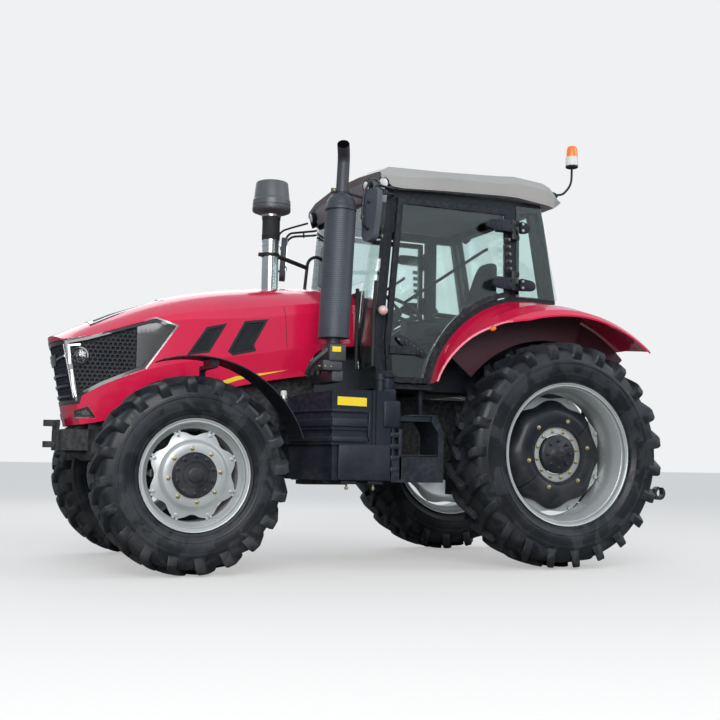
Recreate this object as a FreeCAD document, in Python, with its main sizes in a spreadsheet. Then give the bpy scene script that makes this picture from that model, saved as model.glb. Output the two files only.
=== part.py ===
import FreeCAD, Part
import math
import os
from types import SimpleNamespace

import Sketcher

Vector = FreeCAD.Vector
doc = FreeCAD.newDocument("FarmTractor")
sheet = doc.addObject("Spreadsheet::Sheet", "Sizes")

# Driving sizes in millimetres: name, value, what it measures
DRIVING = (
    ("wheelbase", 2880, "front axle to rear axle"),
    ("front_overhang", 870, "front axle to the tip of the tow bracket"),
    ("rear_overhang", 1450, "rear axle to the tips of the claw ends"),
    ("rear_track", 1930, "between the middles of the rear tyres"),
    ("front_track", 1850, "between the middles of the front tyres"),
    ("rear_tyre_radius", 870, "rear tyre over the lugs"),
    ("rear_tyre_width", 467, "rear tyre over the side walls"),
    ("rear_rim_radius", 545, "rear rim flange"),
    ("rear_rim_width", 400, "rear rim over its flanges"),
    ("rear_lug_height", 40, "rear lugs above the carcass"),
    ("front_lug_height", 35, "front lugs above the carcass"),
    ("front_tyre_radius", 676, "front tyre over the lugs"),
    ("front_tyre_width", 378, "front tyre over the side walls"),
    ("front_rim_radius", 380, "front rim flange"),
    ("front_rim_width", 340, "front rim over its flanges"),
    ("flange_height", 25, "rim flange above the tyre seat"),
    ("rim_wall", 10, "thickness of the rim's barrel"),
    ("rear_disc_depth", 270, "rear disc inboard of the outer flange"),
    ("front_disc_depth", 70, "front disc inboard of the outer flange"),
    ("disc_wall", 12, "thickness of the wheel discs"),
    ("rear_hub_radius", 150, "rear hub"),
    ("front_hub_radius", 152, "front planetary hub"),
    ("kingpin_spacing", 1520, "between the two steering axes"),
    ("knuckle_radius", 80, "knuckle housing round the steering axis"),
    ("knuckle_height", 170, "knuckle housing between the yoke arms"),
    ("yoke_arm_thickness", 40, "upper and lower arm of the axle yoke"),
    ("steering_arm_length", 200, "steering axis to the rod's eye"),
    ("steering_rod_radius", 18, "steering cylinder's rod"),
    ("beam_height", 150, "front axle beam"),
    ("beam_depth", 150, "front axle beam, fore and aft"),
    ("mudguard_radius", 805, "front mudguard about the front wheel"),
    ("mudguard_wall", 8, "front mudguard sheet"),
    ("mudguard_width", 300, "front mudguard"),
    ("engine_half_width", 270, "engine block"),
    ("hood_wall", 14, "hood shell with its inner frame"),
    ("cab_side", 800, "outer face of the cab's side to the middle"),
    ("cab_inner_wall", 630, "wall beside the rear wheel to the middle"),
    ("cab_plate", 30, "cab floor and wall panels"),
    ("floor_height", 1340, "underside of the cab floor"),
    ("platform_height", 1600, "underside of the seat platform"),
    ("cab_top", 2880, "top of the cab frame"),
    ("cab_front", 1430, "front of the cab frame ahead of the rear axle"),
    ("cab_back", 130, "back of the cab frame behind the rear axle"),
    ("glass", 6, "window panes"),
    ("door_wall", 34, "door frame, inside to outside"),
    ("door_rim", 42, "door frame around its pane"),
    ("door_gap", 8, "round the doors"),
    ("roof_half_width", 850, "roof"),
    ("fender_wall", 14, "rear fender shell"),
    ("tank_outside", 950, "outer face of the fuel tank to the middle"),
    ("tank_inside", 330, "inner face of the fuel tank to the middle"),
    ("muffler_radius", 120, "muffler"),
    ("exhaust_pipe_radius", 50, "exhaust stack"),
    ("exhaust_top", 3190, "top of the exhaust stack"),
    ("intake_radius", 75, "air intake tube"),
    ("hood_hinge_height", 2140, "hood hinge above the ground"),
    ("hood_hinge_x", 1460, "hood hinge ahead of the rear axle"),
    ("hood_pin_radius", 9, "hood hinge pin"),
    ("door_hinge_x", 300, "door hinge ahead of the rear axle"),
    ("hitch_pin_radius", 16, "drawbar and tow pin bores"),
    ("pto_radius", 17.4, "power take-off shaft"),
    ("running_gap", 6, "between pieces that move past each other"),
    ("seat_gap", 0.3, "between pieces that rest on each other"),
)
for row, (name, value, note) in enumerate(DRIVING, start=1):
    sheet.set(f"A{row}", note)
    sheet.set(f"B{row}", str(value))
    sheet.setAlias(f"B{row}", name)
doc.recompute()


class Size:
    """A length that keeps the sheet formula it is worked out from."""

    def __init__(self, value, formula):
        self.value = float(value)
        self.formula = formula

    def __add__(self, other):
        other = as_size(other)
        return Size(self.value + other.value, f"({self.formula} + {other.formula})")

    def __radd__(self, other):
        return as_size(other) + self

    def __sub__(self, other):
        other = as_size(other)
        return Size(self.value - other.value, f"({self.formula} - {other.formula})")

    def __rsub__(self, other):
        return as_size(other) - self

    def __mul__(self, other):
        other = as_size(other)
        return Size(self.value * other.value, f"({self.formula} * {other.formula})")

    def __rmul__(self, other):
        return as_size(other) * self

    def __truediv__(self, other):
        other = as_size(other)
        return Size(self.value / other.value, f"({self.formula} / {other.formula})")

    def __rtruediv__(self, other):
        return as_size(other) / self

    def __neg__(self):
        return as_size(0) - self


def as_size(number):
    """Give a plain number the form of a Size."""
    if isinstance(number, Size):
        return number
    return Size(number, f"({float(number):.6f})")


size = SimpleNamespace(**{name: Size(sheet.get(name), f"Sizes.{name}") for name, _, _ in DRIVING})

# Main places: x is zero midway between the tow bracket and the claw ends
rear_x = (size.rear_overhang - size.front_overhang - size.wheelbase) / 2
front_x = rear_x + size.wheelbase
rear_z = size.rear_tyre_radius
front_z = size.front_tyre_radius
kingpin_y = size.kingpin_spacing / 2


def from_rear(*points):
    """Shift outline points, given ahead of the rear axle, to their place."""
    return [(rear_x + point[0],) + tuple(point[1:]) for point in points]


def from_front(*points):
    """Shift outline points, given ahead of the front axle, to their place."""
    return [(front_x + point[0],) + tuple(point[1:]) for point in points]


# Building blocks

AXIS = {"x": Vector(1, 0, 0), "y": Vector(0, 1, 0), "z": Vector(0, 0, 1)}
PLANES = {"xy": ("XY_Plane", 1), "xz": ("XZ_Plane", -1), "yz": ("YZ_Plane", 1)}
pieces = {}


def place(item, spot):
    """Bind the place of an item to its three sizes."""
    for axis, value in zip("xyz", spot):
        item.setExpression(f"Placement.Base.{axis}", as_size(value).formula)


def box(x, y, z):
    """A block between three pairs of limits."""
    item = doc.addObject("Part::Box", "Block")
    for name, (low, high) in zip(("Length", "Width", "Height"), (x, y, z)):
        item.setExpression(name, (as_size(high) - low).formula)
    place(item, (x[0], y[0], z[0]))
    return item


def cylinder(axis, radius, low, high, at):
    """A cylinder along an axis from low to high, at the two other coordinates."""
    item = doc.addObject("Part::Cylinder", "Round")
    item.Placement = FreeCAD.Placement(Vector(), FreeCAD.Rotation(AXIS["z"], AXIS[axis]))
    item.setExpression("Radius", as_size(radius).formula)
    item.setExpression("Height", (as_size(high) - low).formula)
    spot = list(at)
    spot.insert("xyz".index(axis), low)
    place(item, spot)
    return item


def cone(axis, radius_low, radius_high, low, high, at):
    """A cone frustum along an axis."""
    item = doc.addObject("Part::Cone", "Taper")
    item.Placement = FreeCAD.Placement(Vector(), FreeCAD.Rotation(AXIS["z"], AXIS[axis]))
    item.setExpression("Radius1", as_size(radius_low).formula)
    item.setExpression("Radius2", as_size(radius_high).formula)
    item.setExpression("Height", (as_size(high) - low).formula)
    spot = list(at)
    spot.insert("xyz".index(axis), low)
    place(item, spot)
    return item


def arc_between(start, end, radius):
    """A sketch arc between two points; a positive radius turns left on its way."""
    chord = end - start
    half = chord.Length / 2
    size_of_radius = max(abs(radius), half)
    rise = math.sqrt(size_of_radius ** 2 - half ** 2)
    left = Vector(-chord.y, chord.x, 0).normalize()
    centre = (start + end) / 2 + left * rise * (1 if radius > 0 else -1)
    first, last = (start, end) if radius > 0 else (end, start)
    circle = Part.Circle(centre, AXIS["z"], size_of_radius)
    angles = [math.atan2(point.y - centre.y, point.x - centre.x) for point in (first, last)]
    if angles[1] < angles[0]:
        angles[1] += 2 * math.pi
    return Part.ArcOfCircle(circle, *angles)


def outline_sketch(body, plane, outline, offset=0):
    """Draw a closed outline; a point's third value is the radius of the arc that follows it."""
    role, side = PLANES[plane]
    sketch = body.newObject("Sketcher::SketchObject", "Outline")
    origin_plane = [item for item in body.Origin.OriginFeatures if item.Role == role][0]
    sketch.AttachmentSupport = [(origin_plane, "")]
    sketch.MapMode = "FlatFace"
    sketch.setExpression("AttachmentOffset.Base.z", (as_size(offset) * side).formula)
    spots = [Vector(as_size(point[0]).value, as_size(point[1]).value, 0) for point in outline]
    starts = []
    ends = []
    formulas = []
    rules = []
    for index, point in enumerate(outline):
        start, end = spots[index], spots[(index + 1) % len(spots)]
        radius = as_size(point[2]) if len(point) > 2 else None
        if radius is None:
            sketch.addGeometry(Part.LineSegment(start, end))
        else:
            sketch.addGeometry(arc_between(start, end, radius.value))
            rules.append(Sketcher.Constraint("Radius", index, abs(radius.value)))
            formulas.append(radius if radius.value > 0 else -radius)
        forward = radius is None or radius.value > 0
        starts.append(1 if forward else 2)
        ends.append(2 if forward else 1)
        for name, value in zip(("DistanceX", "DistanceY"), point[:2]):
            rules.append(Sketcher.Constraint(name, -1, 1, index, starts[-1], as_size(value).value))
            formulas.append(as_size(value))
    count = len(outline)
    for index in range(count):
        following = (index + 1) % count
        rules.append(Sketcher.Constraint("Coincident", index, ends[index], following, starts[following]))
    sketch.addConstraint(rules)
    for index, formula in enumerate(formulas):
        sketch.setExpression(f"Constraints[{index}]", formula.formula)
    return sketch


def prism(plane, outline, low, high):
    """An outline padded along the plane's third axis from low to high."""
    body = doc.addObject("PartDesign::Body", "Profile")
    start = high if plane == "xz" else low
    sketch = outline_sketch(body, plane, outline, start)
    pad = body.newObject("PartDesign::Pad", "Pad")
    pad.Profile = sketch
    pad.setExpression("Length", (as_size(high) - low).formula)
    return body


def turned(plane, axis, outline, at=(0, 0, 0), angle=360):
    """An outline turned about its sketch's H_Axis or V_Axis."""
    body = doc.addObject("PartDesign::Body", "Turned")
    sketch = outline_sketch(body, plane, outline)
    solid = body.newObject("PartDesign::Revolution", "Revolution")
    solid.Profile = sketch
    solid.ReferenceAxis = (sketch, [axis])
    solid.Angle = angle
    place(body, at)
    return body


def rod(points, radius, bend=0):
    """A round bar along straight runs, with tangent bends of one radius."""
    spots = [Vector(*(as_size(value).value for value in point)) for point in points]
    edges = []
    last = spots[0]
    for before, corner, after in zip(spots, spots[1:], spots[2:]):
        towards = (before - corner).normalize()
        away = (after - corner).normalize()
        half = towards.getAngle(away) / 2
        reach = as_size(bend).value / math.tan(half)
        middle = (towards + away).normalize()
        depth = as_size(bend).value / math.sin(half) - as_size(bend).value
        first, second = corner + towards * reach, corner + away * reach
        edges.append(Part.LineSegment(last, first).toShape())
        edges.append(Part.Arc(first, corner + middle * depth, second).toShape())
        last = second
    edges.append(Part.LineSegment(last, spots[-1]).toShape())
    direction = (spots[1] - spots[0]).normalize()
    circle = Part.Wire([Part.makeCircle(as_size(radius).value, spots[0], direction)])
    item = doc.addObject("Part::Feature", "Bar")
    item.Shape = Part.Wire(edges).makePipeShell([circle], True, False, 2)
    return item


def fuse(*items, refine=True):
    """Several solids made one."""
    item = doc.addObject("Part::MultiFuse", "Union")
    item.Shapes = list(items)
    item.Refine = refine
    return item


def cut(base, *tools):
    """A solid less other solids."""
    for tool in tools:
        item = doc.addObject("Part::Cut", "Cutout")
        item.Base = base
        item.Tool = tool
        item.Refine = True
        base = item
    return base


def common(base, tool):
    """What two solids share."""
    item = doc.addObject("Part::Common", "Shared")
    item.Base = base
    item.Tool = tool
    return item


def mirrored(item):
    """The same solid on the tractor's other side."""
    copy = doc.addObject("Part::Mirroring", "Mirrored")
    copy.Source = item
    copy.Normal = AXIS["y"]
    return copy


def group(*items):
    """Solids that share a node without touching."""
    item = doc.addObject("Part::Compound", "Group")
    item.Links = list(items)
    return item


def both_sides(item):
    """A solid and its mirror image in one node."""
    return group(item, mirrored(item))


def piece(label, item):
    """Name a finished sub-part."""
    item.Label = label
    pieces[label] = item
    return item


def pair(label, item):
    """Name a left sub-part and make the right one from it."""
    piece(f"{label}_left", item)
    piece(f"{label}_right", mirrored(item))


def inset(outline, gap):
    """An outline's points drawn in from its corners by a gap, for convex outlines."""
    count = len(outline)
    spots = [(as_size(point[0]), as_size(point[1])) for point in outline]
    area = sum(spots[i][0].value * spots[(i + 1) % count][1].value
               - spots[(i + 1) % count][0].value * spots[i][1].value for i in range(count))
    turn = 1 if area > 0 else -1
    shifted = []
    for index in range(count):
        corner = Vector(spots[index][0].value, spots[index][1].value, 0)
        before = Vector(spots[index - 1][0].value, spots[index - 1][1].value, 0)
        after = Vector(spots[(index + 1) % count][0].value, spots[(index + 1) % count][1].value, 0)
        arriving = (corner - before).normalize()
        leaving = (after - corner).normalize()
        normals = [Vector(-way.y, way.x, 0) * turn for way in (arriving, leaving)]
        middle = normals[0] + normals[1]
        middle = middle / (1 + normals[0].dot(normals[1]))
        x, y = spots[index]
        shifted.append((x + middle.x * as_size(gap), y + middle.y * as_size(gap)))
    return shifted


# Tyres and rims; in their outlines y runs along the axle, outwards on the left side

def crown_radius(run, drop):
    """Radius of an arc that leaves its crown square and reaches a point."""
    return (run * run + drop * drop) / (2 * drop)


REAR_LUG = (
    # share of the tyre's half width, shift round the tyre, drop of the tip, depth of the root, half width
    (-0.05, 88, 0, 58, 21), (0.42, 6, 5, 64, 24), (0.80, -52, 14, 100, 28), (0.985, -78, 46, 140, 30),
)
FRONT_LUG = (
    (-0.05, 74, 0, 52, 19), (0.42, 5, 4, 57, 22), (0.80, -44, 12, 88, 25), (0.985, -66, 40, 124, 27),
)
LUG_SLOPE = 0.15


def lug_section(radius, half_width, station):
    """Four corners of a lug's section across its run, at the top of the tyre."""
    share, shift, tip, root, half = station
    reach = abs(shift) + half + LUG_SLOPE * tip
    heights = (radius - root, math.sqrt((radius - tip) ** 2 - reach ** 2))
    left = [(shift - half - LUG_SLOPE * (radius - z), z) for z in heights]
    right = [(2 * shift - x, z) for x, z in reversed(left)]
    return [Vector(x, share * half_width, z) for x, z in left + right]


def lug_bar(radius, half_width, stations):
    """One flat-faced lug through its sections."""
    sections = [lug_section(radius, half_width, station) for station in stations]
    loops = [sections[0], sections[-1]]
    for here, there in zip(sections, sections[1:]):
        loops += [[here[k], here[(k + 1) % 4], there[(k + 1) % 4], there[k]] for k in range(4)]
    shell = Part.Shell([Part.Face(Part.makePolygon(loop + loop[:1])) for loop in loops])
    bar = Part.Solid(shell)
    if bar.Volume < 0:
        bar.reverse()
    return bar


def lug_rows(radius, width, stations, count, at):
    """Both staggered rows of lugs, turned so that a lug's corner stands on the ground."""
    bar = lug_bar(radius, width / 2, stations)
    other = bar.mirror(Vector(), AXIS["y"])
    corner = lug_section(radius, width / 2, stations[0])[2]
    lead = 180 - math.degrees(math.atan2(corner.x, corner.z))
    lugs = []
    for index in range(count):
        for row, shape in ((0, bar), (0.5, other)):
            lug = doc.addObject("Part::Feature", "Lug")
            lug.Shape = shape
            turn = FreeCAD.Rotation(AXIS["y"], lead + 360 * (index + row) / count)
            lug.Placement = FreeCAD.Placement(Vector(), turn)
            place(lug, at)
            lugs.append(lug)
    return lugs


SHOULDER_IN = 14
TREAD_SHARE = 0.55


def tyre(radius, width, rim_radius, rim_width, lug_height, stations, lugs, at):
    """A tyre: a turned carcass with rounded walls, and its lugs."""
    seat = rim_radius - size.flange_height + size.seat_gap
    bead = rim_width / 2 - size.rim_wall - size.seat_gap
    wall = width / 2
    low = rim_radius + 4
    widest = (radius + rim_radius) / 2 - 30
    shoulder = radius - lug_height * 2
    tread = radius - lug_height
    lower = crown_radius(widest - low, wall - bead)
    upper = crown_radius(shoulder - widest, SHOULDER_IN)
    corner = lug_height * 4
    outline = [
        (-bead, seat), (bead, seat), (bead, low, lower), (wall, widest, upper),
        (wall - SHOULDER_IN, shoulder, corner), (wall * TREAD_SHARE, tread),
        (-wall * TREAD_SHARE, tread, corner), (SHOULDER_IN - wall, shoulder, upper),
        (-wall, widest, lower), (-bead, low),
    ]
    return fuse(turned("yz", "H_Axis", outline, at),
                *lug_rows(radius.value, width.value, stations, lugs, at), refine=False)


OPENINGS = 8
WELL_DEPTH = 38
DISC_EDGE = 70

def disc_openings(middle, half_length, half_height, low, high, at):
    """Lens-shaped openings round a wheel disc."""
    bow = crown_radius(half_length, half_height)
    lenses = []
    for index in range(OPENINGS):
        lens = prism("xz", [(-half_length, middle, bow), (half_length, middle, bow)], low, high)
        lens.Placement = FreeCAD.Placement(Vector(), FreeCAD.Rotation(AXIS["y"], 360 * index / OPENINGS))
        place(lens, at)
        lenses.append(lens)
    return group(*lenses)


def rim(radius, width, disc_face, dish, hub_radius, at):
    """A rim's barrel with its flanges and a dished disc; dish is how far the disc's middle stands out."""
    half = width / 2
    seat = radius - size.flange_height
    well = seat - WELL_DEPTH
    wall = size.rim_wall
    barrel = [
        (-half, radius), (wall - half, radius), (wall - half, seat), (-half * 0.76, seat - 4),
        (-half * 0.64, well), (half * 0.64, well), (half * 0.76, seat - 4), (half - wall, seat),
        (half - wall, radius), (half, radius), (half, seat - wall), (half * 0.76 + 4, seat - wall - 4),
        (half * 0.64 + 4, well - wall), (-half * 0.64 - 4, well - wall),
        (-half * 0.76 - 4, seat - wall - 4), (-half, seat - wall),
    ]
    edge = well - wall
    thick = size.disc_wall
    disc = [
        (disc_face, edge + 4), (disc_face, edge - DISC_EDGE), (disc_face + dish, hub_radius + 75),
        (disc_face + dish, hub_radius), (disc_face + dish - thick, hub_radius),
        (disc_face + dish - thick, hub_radius + 71), (disc_face - thick, edge - DISC_EDGE - 4),
        (disc_face - thick, edge + 4),
    ]
    openings = disc_openings(edge - 26, 62, 17, disc_face - thick - 5, disc_face + 5, at)
    return cut(fuse(turned("yz", "H_Axis", barrel, at), turned("yz", "H_Axis", disc, at)), openings)


rear_wheel_y = size.rear_track / 2
front_wheel_y = size.front_track / 2
rear_centre = (rear_x, rear_wheel_y, rear_z)
front_centre = (front_x, front_wheel_y, front_z)
rear_disc_face = size.rear_rim_width / 2 - size.rear_disc_depth
front_disc_face = size.front_rim_width / 2 - size.front_disc_depth
REAR_DISH = 95
FRONT_DISH = 40
REAR_HUB_REACH = 60
FRONT_HUB_REACH = 175
REAR_LUGS = 23
FRONT_LUGS = 20

pair("tyre_rear", tyre(size.rear_tyre_radius, size.rear_tyre_width, size.rear_rim_radius,
                       size.rear_rim_width, size.rear_lug_height, REAR_LUG, REAR_LUGS, rear_centre))
pair("rim_rear", rim(size.rear_rim_radius, size.rear_rim_width, rear_disc_face, REAR_DISH,
                     size.rear_hub_radius + size.seat_gap, rear_centre))
pair("tyre_front", tyre(size.front_tyre_radius, size.front_tyre_width, size.front_rim_radius,
                        size.front_rim_width, size.front_lug_height, FRONT_LUG, FRONT_LUGS, front_centre))
pair("rim_front", rim(size.front_rim_radius, size.front_rim_width, front_disc_face, FRONT_DISH,
                      size.front_hub_radius + size.seat_gap, front_centre))

# Rear hub with its axle flange and the dished cast weight round it
rear_plate = rear_disc_face + REAR_DISH
disc_edge = size.rear_rim_radius - size.flange_height - WELL_DEPTH - size.rim_wall - DISC_EDGE
rear_weight = [
    (rear_plate + size.seat_gap, 215), (rear_plate + 34, 215), (rear_plate + 30, 290),
    (rear_disc_face + 70, 395), (rear_disc_face + 40, 422), (rear_disc_face + size.seat_gap, 422),
    (rear_disc_face + size.seat_gap, disc_edge + size.seat_gap),
    (rear_plate + size.seat_gap, size.rear_hub_radius + 75 + size.seat_gap * 2),
]
rear_hub = [
    (rear_disc_face - 60, 0), (rear_disc_face - 60, 130), (rear_plate - size.disc_wall - 20, 205),
    (rear_plate - size.disc_wall - size.seat_gap, 205),
    (rear_plate - size.disc_wall - size.seat_gap, size.rear_hub_radius),
    (rear_plate + 26, size.rear_hub_radius), (REAR_HUB_REACH, 128), (REAR_HUB_REACH, 55),
    (REAR_HUB_REACH + 14, 52), (REAR_HUB_REACH + 14, 0),
]
pair("wheel_weight", turned("yz", "H_Axis", rear_weight, rear_centre))
pair("hub_rear", turned("yz", "H_Axis", rear_hub, rear_centre))

# Front planetary hub
front_plate = front_disc_face + FRONT_DISH
hub_inner = kingpin_y + 118 - front_wheel_y
front_hub = [
    (hub_inner, 0), (hub_inner, 120), (front_plate - size.disc_wall - 40, 145),
    (front_plate - size.disc_wall - 24, 196), (front_plate - size.disc_wall - size.seat_gap, 196),
    (front_plate - size.disc_wall - size.seat_gap, size.front_hub_radius),
    (FRONT_HUB_REACH - 14, size.front_hub_radius), (FRONT_HUB_REACH, 138),
    (FRONT_HUB_REACH, 60), (FRONT_HUB_REACH + 8, 52), (FRONT_HUB_REACH + 8, 0),
]
pair("hub_front", turned("yz", "H_Axis", front_hub, front_centre))

# Knuckle: housing round the steering axis, spindle out to the hub, arm forward to the rod
knuckle_low = front_z - size.knuckle_height / 2
knuckle_high = front_z + size.knuckle_height / 2
spindle_end = kingpin_y + 118 - size.seat_gap
ARM_THICKNESS = 25
POST_X = -125
arm_high = knuckle_low + 60
knuckle = fuse(
    cylinder("z", size.knuckle_radius, knuckle_low + size.seat_gap, knuckle_high - size.seat_gap,
             (front_x, kingpin_y)),
    cylinder("y", 74, kingpin_y, kingpin_y + 70, (front_x, front_z)),
    cone("y", 74, 112, kingpin_y + 70, spindle_end, (front_x, front_z)),
    box((front_x + POST_X - 25, front_x + size.steering_arm_length), (kingpin_y - 25, kingpin_y + 25),
        (arm_high - ARM_THICKNESS, arm_high)),
    cylinder("z", 32, arm_high - ARM_THICKNESS, arm_high, (front_x + size.steering_arm_length, kingpin_y)),
)
pair("knuckle", knuckle)

# Front mudguard: an arc over the tyre on a bent post that the knuckle carries
guard_in = kingpin_y + 40
guard_out = guard_in + size.mudguard_width
guard = size.mudguard_radius


def on_guard(radius, angle):
    """A point at an angle about the front wheel, counted up from straight ahead."""
    turn = math.radians(angle)
    return (front_x + radius * math.cos(turn), front_z + radius * math.sin(turn))


guard_inner = guard - size.mudguard_wall
guard_outline = [
    on_guard(guard, 73) + (guard,), on_guard(guard, 161), on_guard(guard_inner, 161) + (-guard_inner,),
    on_guard(guard_inner, 73),
]
post_top = front_z + size.front_tyre_radius + 55
mudguard = fuse(
    prism("xz", guard_outline, guard_in, guard_out),
    box((front_x + POST_X - 20, front_x + POST_X + 20), (kingpin_y - 68, kingpin_y - 45),
        (arm_high + size.seat_gap, post_top + 30)),
    box((front_x + POST_X - 20, front_x + POST_X + 20), (kingpin_y - 68, kingpin_y + 25),
        (arm_high + size.seat_gap, arm_high + 20)),
    box((front_x + POST_X - 20, front_x + POST_X + 20), (kingpin_y - 68, kingpin_y + 290),
        (post_top, post_top + 30)),
    prism("xz", [
        (front_x + POST_X - 20, post_top + 10), (front_x + POST_X + 20, post_top + 10),
        on_guard(guard_inner + 2, 97), on_guard(guard_inner + 2, 101),
    ], guard_in + 20, guard_in + 260),
)
pair("mudguard_front", mudguard)

# Front axle beam with its yokes, and the steering cylinder ahead of it
NECK = 40
beam_low = front_z - size.beam_height / 2
beam_high = front_z + size.beam_height / 2
beam_half = kingpin_y - 190
yoke_face = kingpin_y - size.knuckle_radius - 12
beam_plan = [
    (front_x - size.beam_depth / 2, -beam_half), (front_x - NECK, 60 - kingpin_y + 40),
    (front_x - NECK, -yoke_face), (front_x + NECK, -yoke_face), (front_x + NECK, 100 - kingpin_y),
    (front_x + size.beam_depth / 2, -beam_half), (front_x + size.beam_depth / 2, beam_half),
    (front_x + NECK, kingpin_y - 100), (front_x + NECK, yoke_face), (front_x - NECK, yoke_face),
    (front_x - NECK, kingpin_y - 100), (front_x - size.beam_depth / 2, beam_half),
]
yoke_top = knuckle_high + size.yoke_arm_thickness
yoke_bottom = knuckle_low - size.yoke_arm_thickness


def yoke(side):
    """The arms above and below one knuckle."""
    sign = 1 if side == "left" else -1
    arms = [box((front_x - NECK, front_x + NECK),
                (yoke_face - 60, yoke_face) if sign > 0 else (-yoke_face, 60 - yoke_face),
                (yoke_bottom, yoke_top))]
    for low, high in ((knuckle_high, yoke_top), (yoke_bottom, knuckle_low)):
        arms.append(cylinder("z", NECK, low, high, (front_x, kingpin_y * sign)))
        inner, outer = (yoke_face, kingpin_y) if sign > 0 else (-kingpin_y, -yoke_face)
        arms.append(box((front_x - NECK, front_x + NECK), (inner, outer), (low, high)))
    return arms


rod_x = front_x + size.steering_arm_length
rod_z = arm_high + size.running_gap + 25
CYLINDER_RADIUS = 45
CYLINDER_HALF = 210
steering_cylinder = cut(
    fuse(
        cylinder("y", CYLINDER_RADIUS, -CYLINDER_HALF, CYLINDER_HALF, (rod_x, rod_z)),
        box((front_x, rod_x), (-CYLINDER_HALF + 20, 60 - CYLINDER_HALF), (rod_z - 20, rod_z + 20)),
        box((front_x, rod_x), (CYLINDER_HALF - 60, CYLINDER_HALF - 20), (rod_z - 20, rod_z + 20)),
    ),
    cylinder("y", size.steering_rod_radius + 0.5, -CYLINDER_HALF - 5, CYLINDER_HALF + 5, (rod_x, rod_z)),
)
PIVOT_RADIUS = 40
EAR = (6, 66)
piece("front_axle", fuse(
    prism("xy", beam_plan, beam_low, beam_high), *yoke("left"), *yoke("right"), steering_cylinder,
    cylinder("x", PIVOT_RADIUS, *[front_x + way * (size.beam_depth / 2 + EAR[1]) for way in (-1, 1)],
             (0, front_z)),
))
rod_reach = kingpin_y - 30
piece("steering_rod", fuse(
    cylinder("y", size.steering_rod_radius, -rod_reach, rod_reach, (rod_x, rod_z)),
    cylinder("z", 30, rod_z - 25, rod_z + 25, (rod_x, rod_reach)),
    cylinder("z", 30, rod_z - 25, rod_z + 25, (rod_x, -rod_reach)),
))

# Front support casting with the axle's saddle, the weight carrier and the tow bracket
SUPPORT_HALF = 220
SUPPORT_TOP = 985
support_low = front_z + size.beam_height / 2 + size.running_gap
support_side = from_front(
    (-620, support_low), (560, support_low), (640, 800), (740, 800), (740, SUPPORT_TOP), (560, SUPPORT_TOP),
    (540, SUPPORT_TOP), (-620, SUPPORT_TOP),
)
TOW = {"low": 850, "high": 1050, "ear": 45}
tow_tip = front_x + size.front_overhang
ears = [box((front_x + size.beam_depth / 2 + EAR[0], front_x + size.beam_depth / 2 + EAR[1]), (-110, 110),
            (front_z - 70, support_low + 20)),
        box((front_x - size.beam_depth / 2 - EAR[1], front_x - size.beam_depth / 2 - EAR[0]), (-110, 110),
            (front_z - 70, support_low + 20))]
support = fuse(
    prism("xz", support_side, -SUPPORT_HALF, SUPPORT_HALF), *ears,
    box((front_x + 590, front_x + 770), (-300, 300), (830, SUPPORT_TOP - 5)),
    box((front_x + 769, front_x + 790), (-130, 130), (830, TOW["high"])),
    box((front_x + 780, tow_tip - 60), (-60, 60), (TOW["low"], TOW["low"] + TOW["ear"])),
    box((front_x + 780, tow_tip - 60), (-60, 60), (TOW["high"] - TOW["ear"], TOW["high"])),
    cylinder("z", 60, TOW["low"], TOW["low"] + TOW["ear"], (tow_tip - 60, 0)),
    cylinder("z", 60, TOW["high"] - TOW["ear"], TOW["high"], (tow_tip - 60, 0)),
)
support = cut(
    support,
    cylinder("z", size.hitch_pin_radius, TOW["low"] - 5, TOW["high"] + 5, (tow_tip - 60, 0)),
    cylinder("x", PIVOT_RADIUS + size.seat_gap, front_x - 200, front_x + 200, (0, front_z)),
)
piece("front_support", support)

# Engine, radiator, gearbox and rear axle
engine = size.engine_half_width
piece("engine_block", fuse(
    box((front_x - 1130, front_x + 250), (-engine, engine), (SUPPORT_TOP + size.seat_gap, 1560)),
    box((front_x - 1050, front_x + 200), (-200, 200), (1560, 1800)),
    box((front_x - 1130, front_x - 640), (-210, 210), (740, SUPPORT_TOP + size.seat_gap)),
))
piece("radiator", box((front_x + 300, front_x + 500), (-300, 300), (SUPPORT_TOP + size.seat_gap, 1600)))
gearbox_side = from_rear(
    (330, 640), (1740, 700), (1750 - size.seat_gap, 720), (1750 - size.seat_gap, 1250),
    (1400, 1300), (330, 1300),
)
GEARBOX_HALF = 240
gearbox_mounts = [box((rear_x + 1180, rear_x + 1280), low_high, (1290, size.floor_height - size.seat_gap))
                  for low_high in ((130, 210), (-210, -130))]
TRANSFER = (1400, 1755)
transfer_case = box((rear_x + TRANSFER[0], rear_x + TRANSFER[1]), (-95, 95), (600, 730))
piece("gearbox_housing", fuse(
    prism("xz", gearbox_side, -GEARBOX_HALF, GEARBOX_HALF), transfer_case, *gearbox_mounts,
))
shaft_ends = (rear_x + TRANSFER[1] + size.seat_gap, front_x - size.beam_depth / 2 - EAR[1] - size.seat_gap)
piece("drive_shaft", fuse(
    cylinder("x", 25, *shaft_ends, (0, front_z)),
    cylinder("x", 42, shaft_ends[0], shaft_ends[0] + 70, (0, front_z)),
    cylinder("x", 42, shaft_ends[1] - 70, shaft_ends[1], (0, front_z)),
))
axle_side = from_rear(
    (-380, 560), (-330, 520), (330, 520), (330 - size.seat_gap, 1300), (-200, 1330), (-380, 1250),
)
trumpet_end = rear_wheel_y + rear_disc_face - 60 - size.seat_gap
trumpets = [
    (trumpet_end, 0), (trumpet_end, 128), (trumpet_end - 34, 128), (trumpet_end - 50, 105),
    (330, 150), (290, 215), (230, 215), (230, 0),
]
trumpet = turned("yz", "H_Axis", trumpets, (rear_x, 0, rear_z))
LINK_PIVOT = (-130, 500)
PTO_HEIGHT = 650
TOP_LINK_HALF = 19
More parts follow.
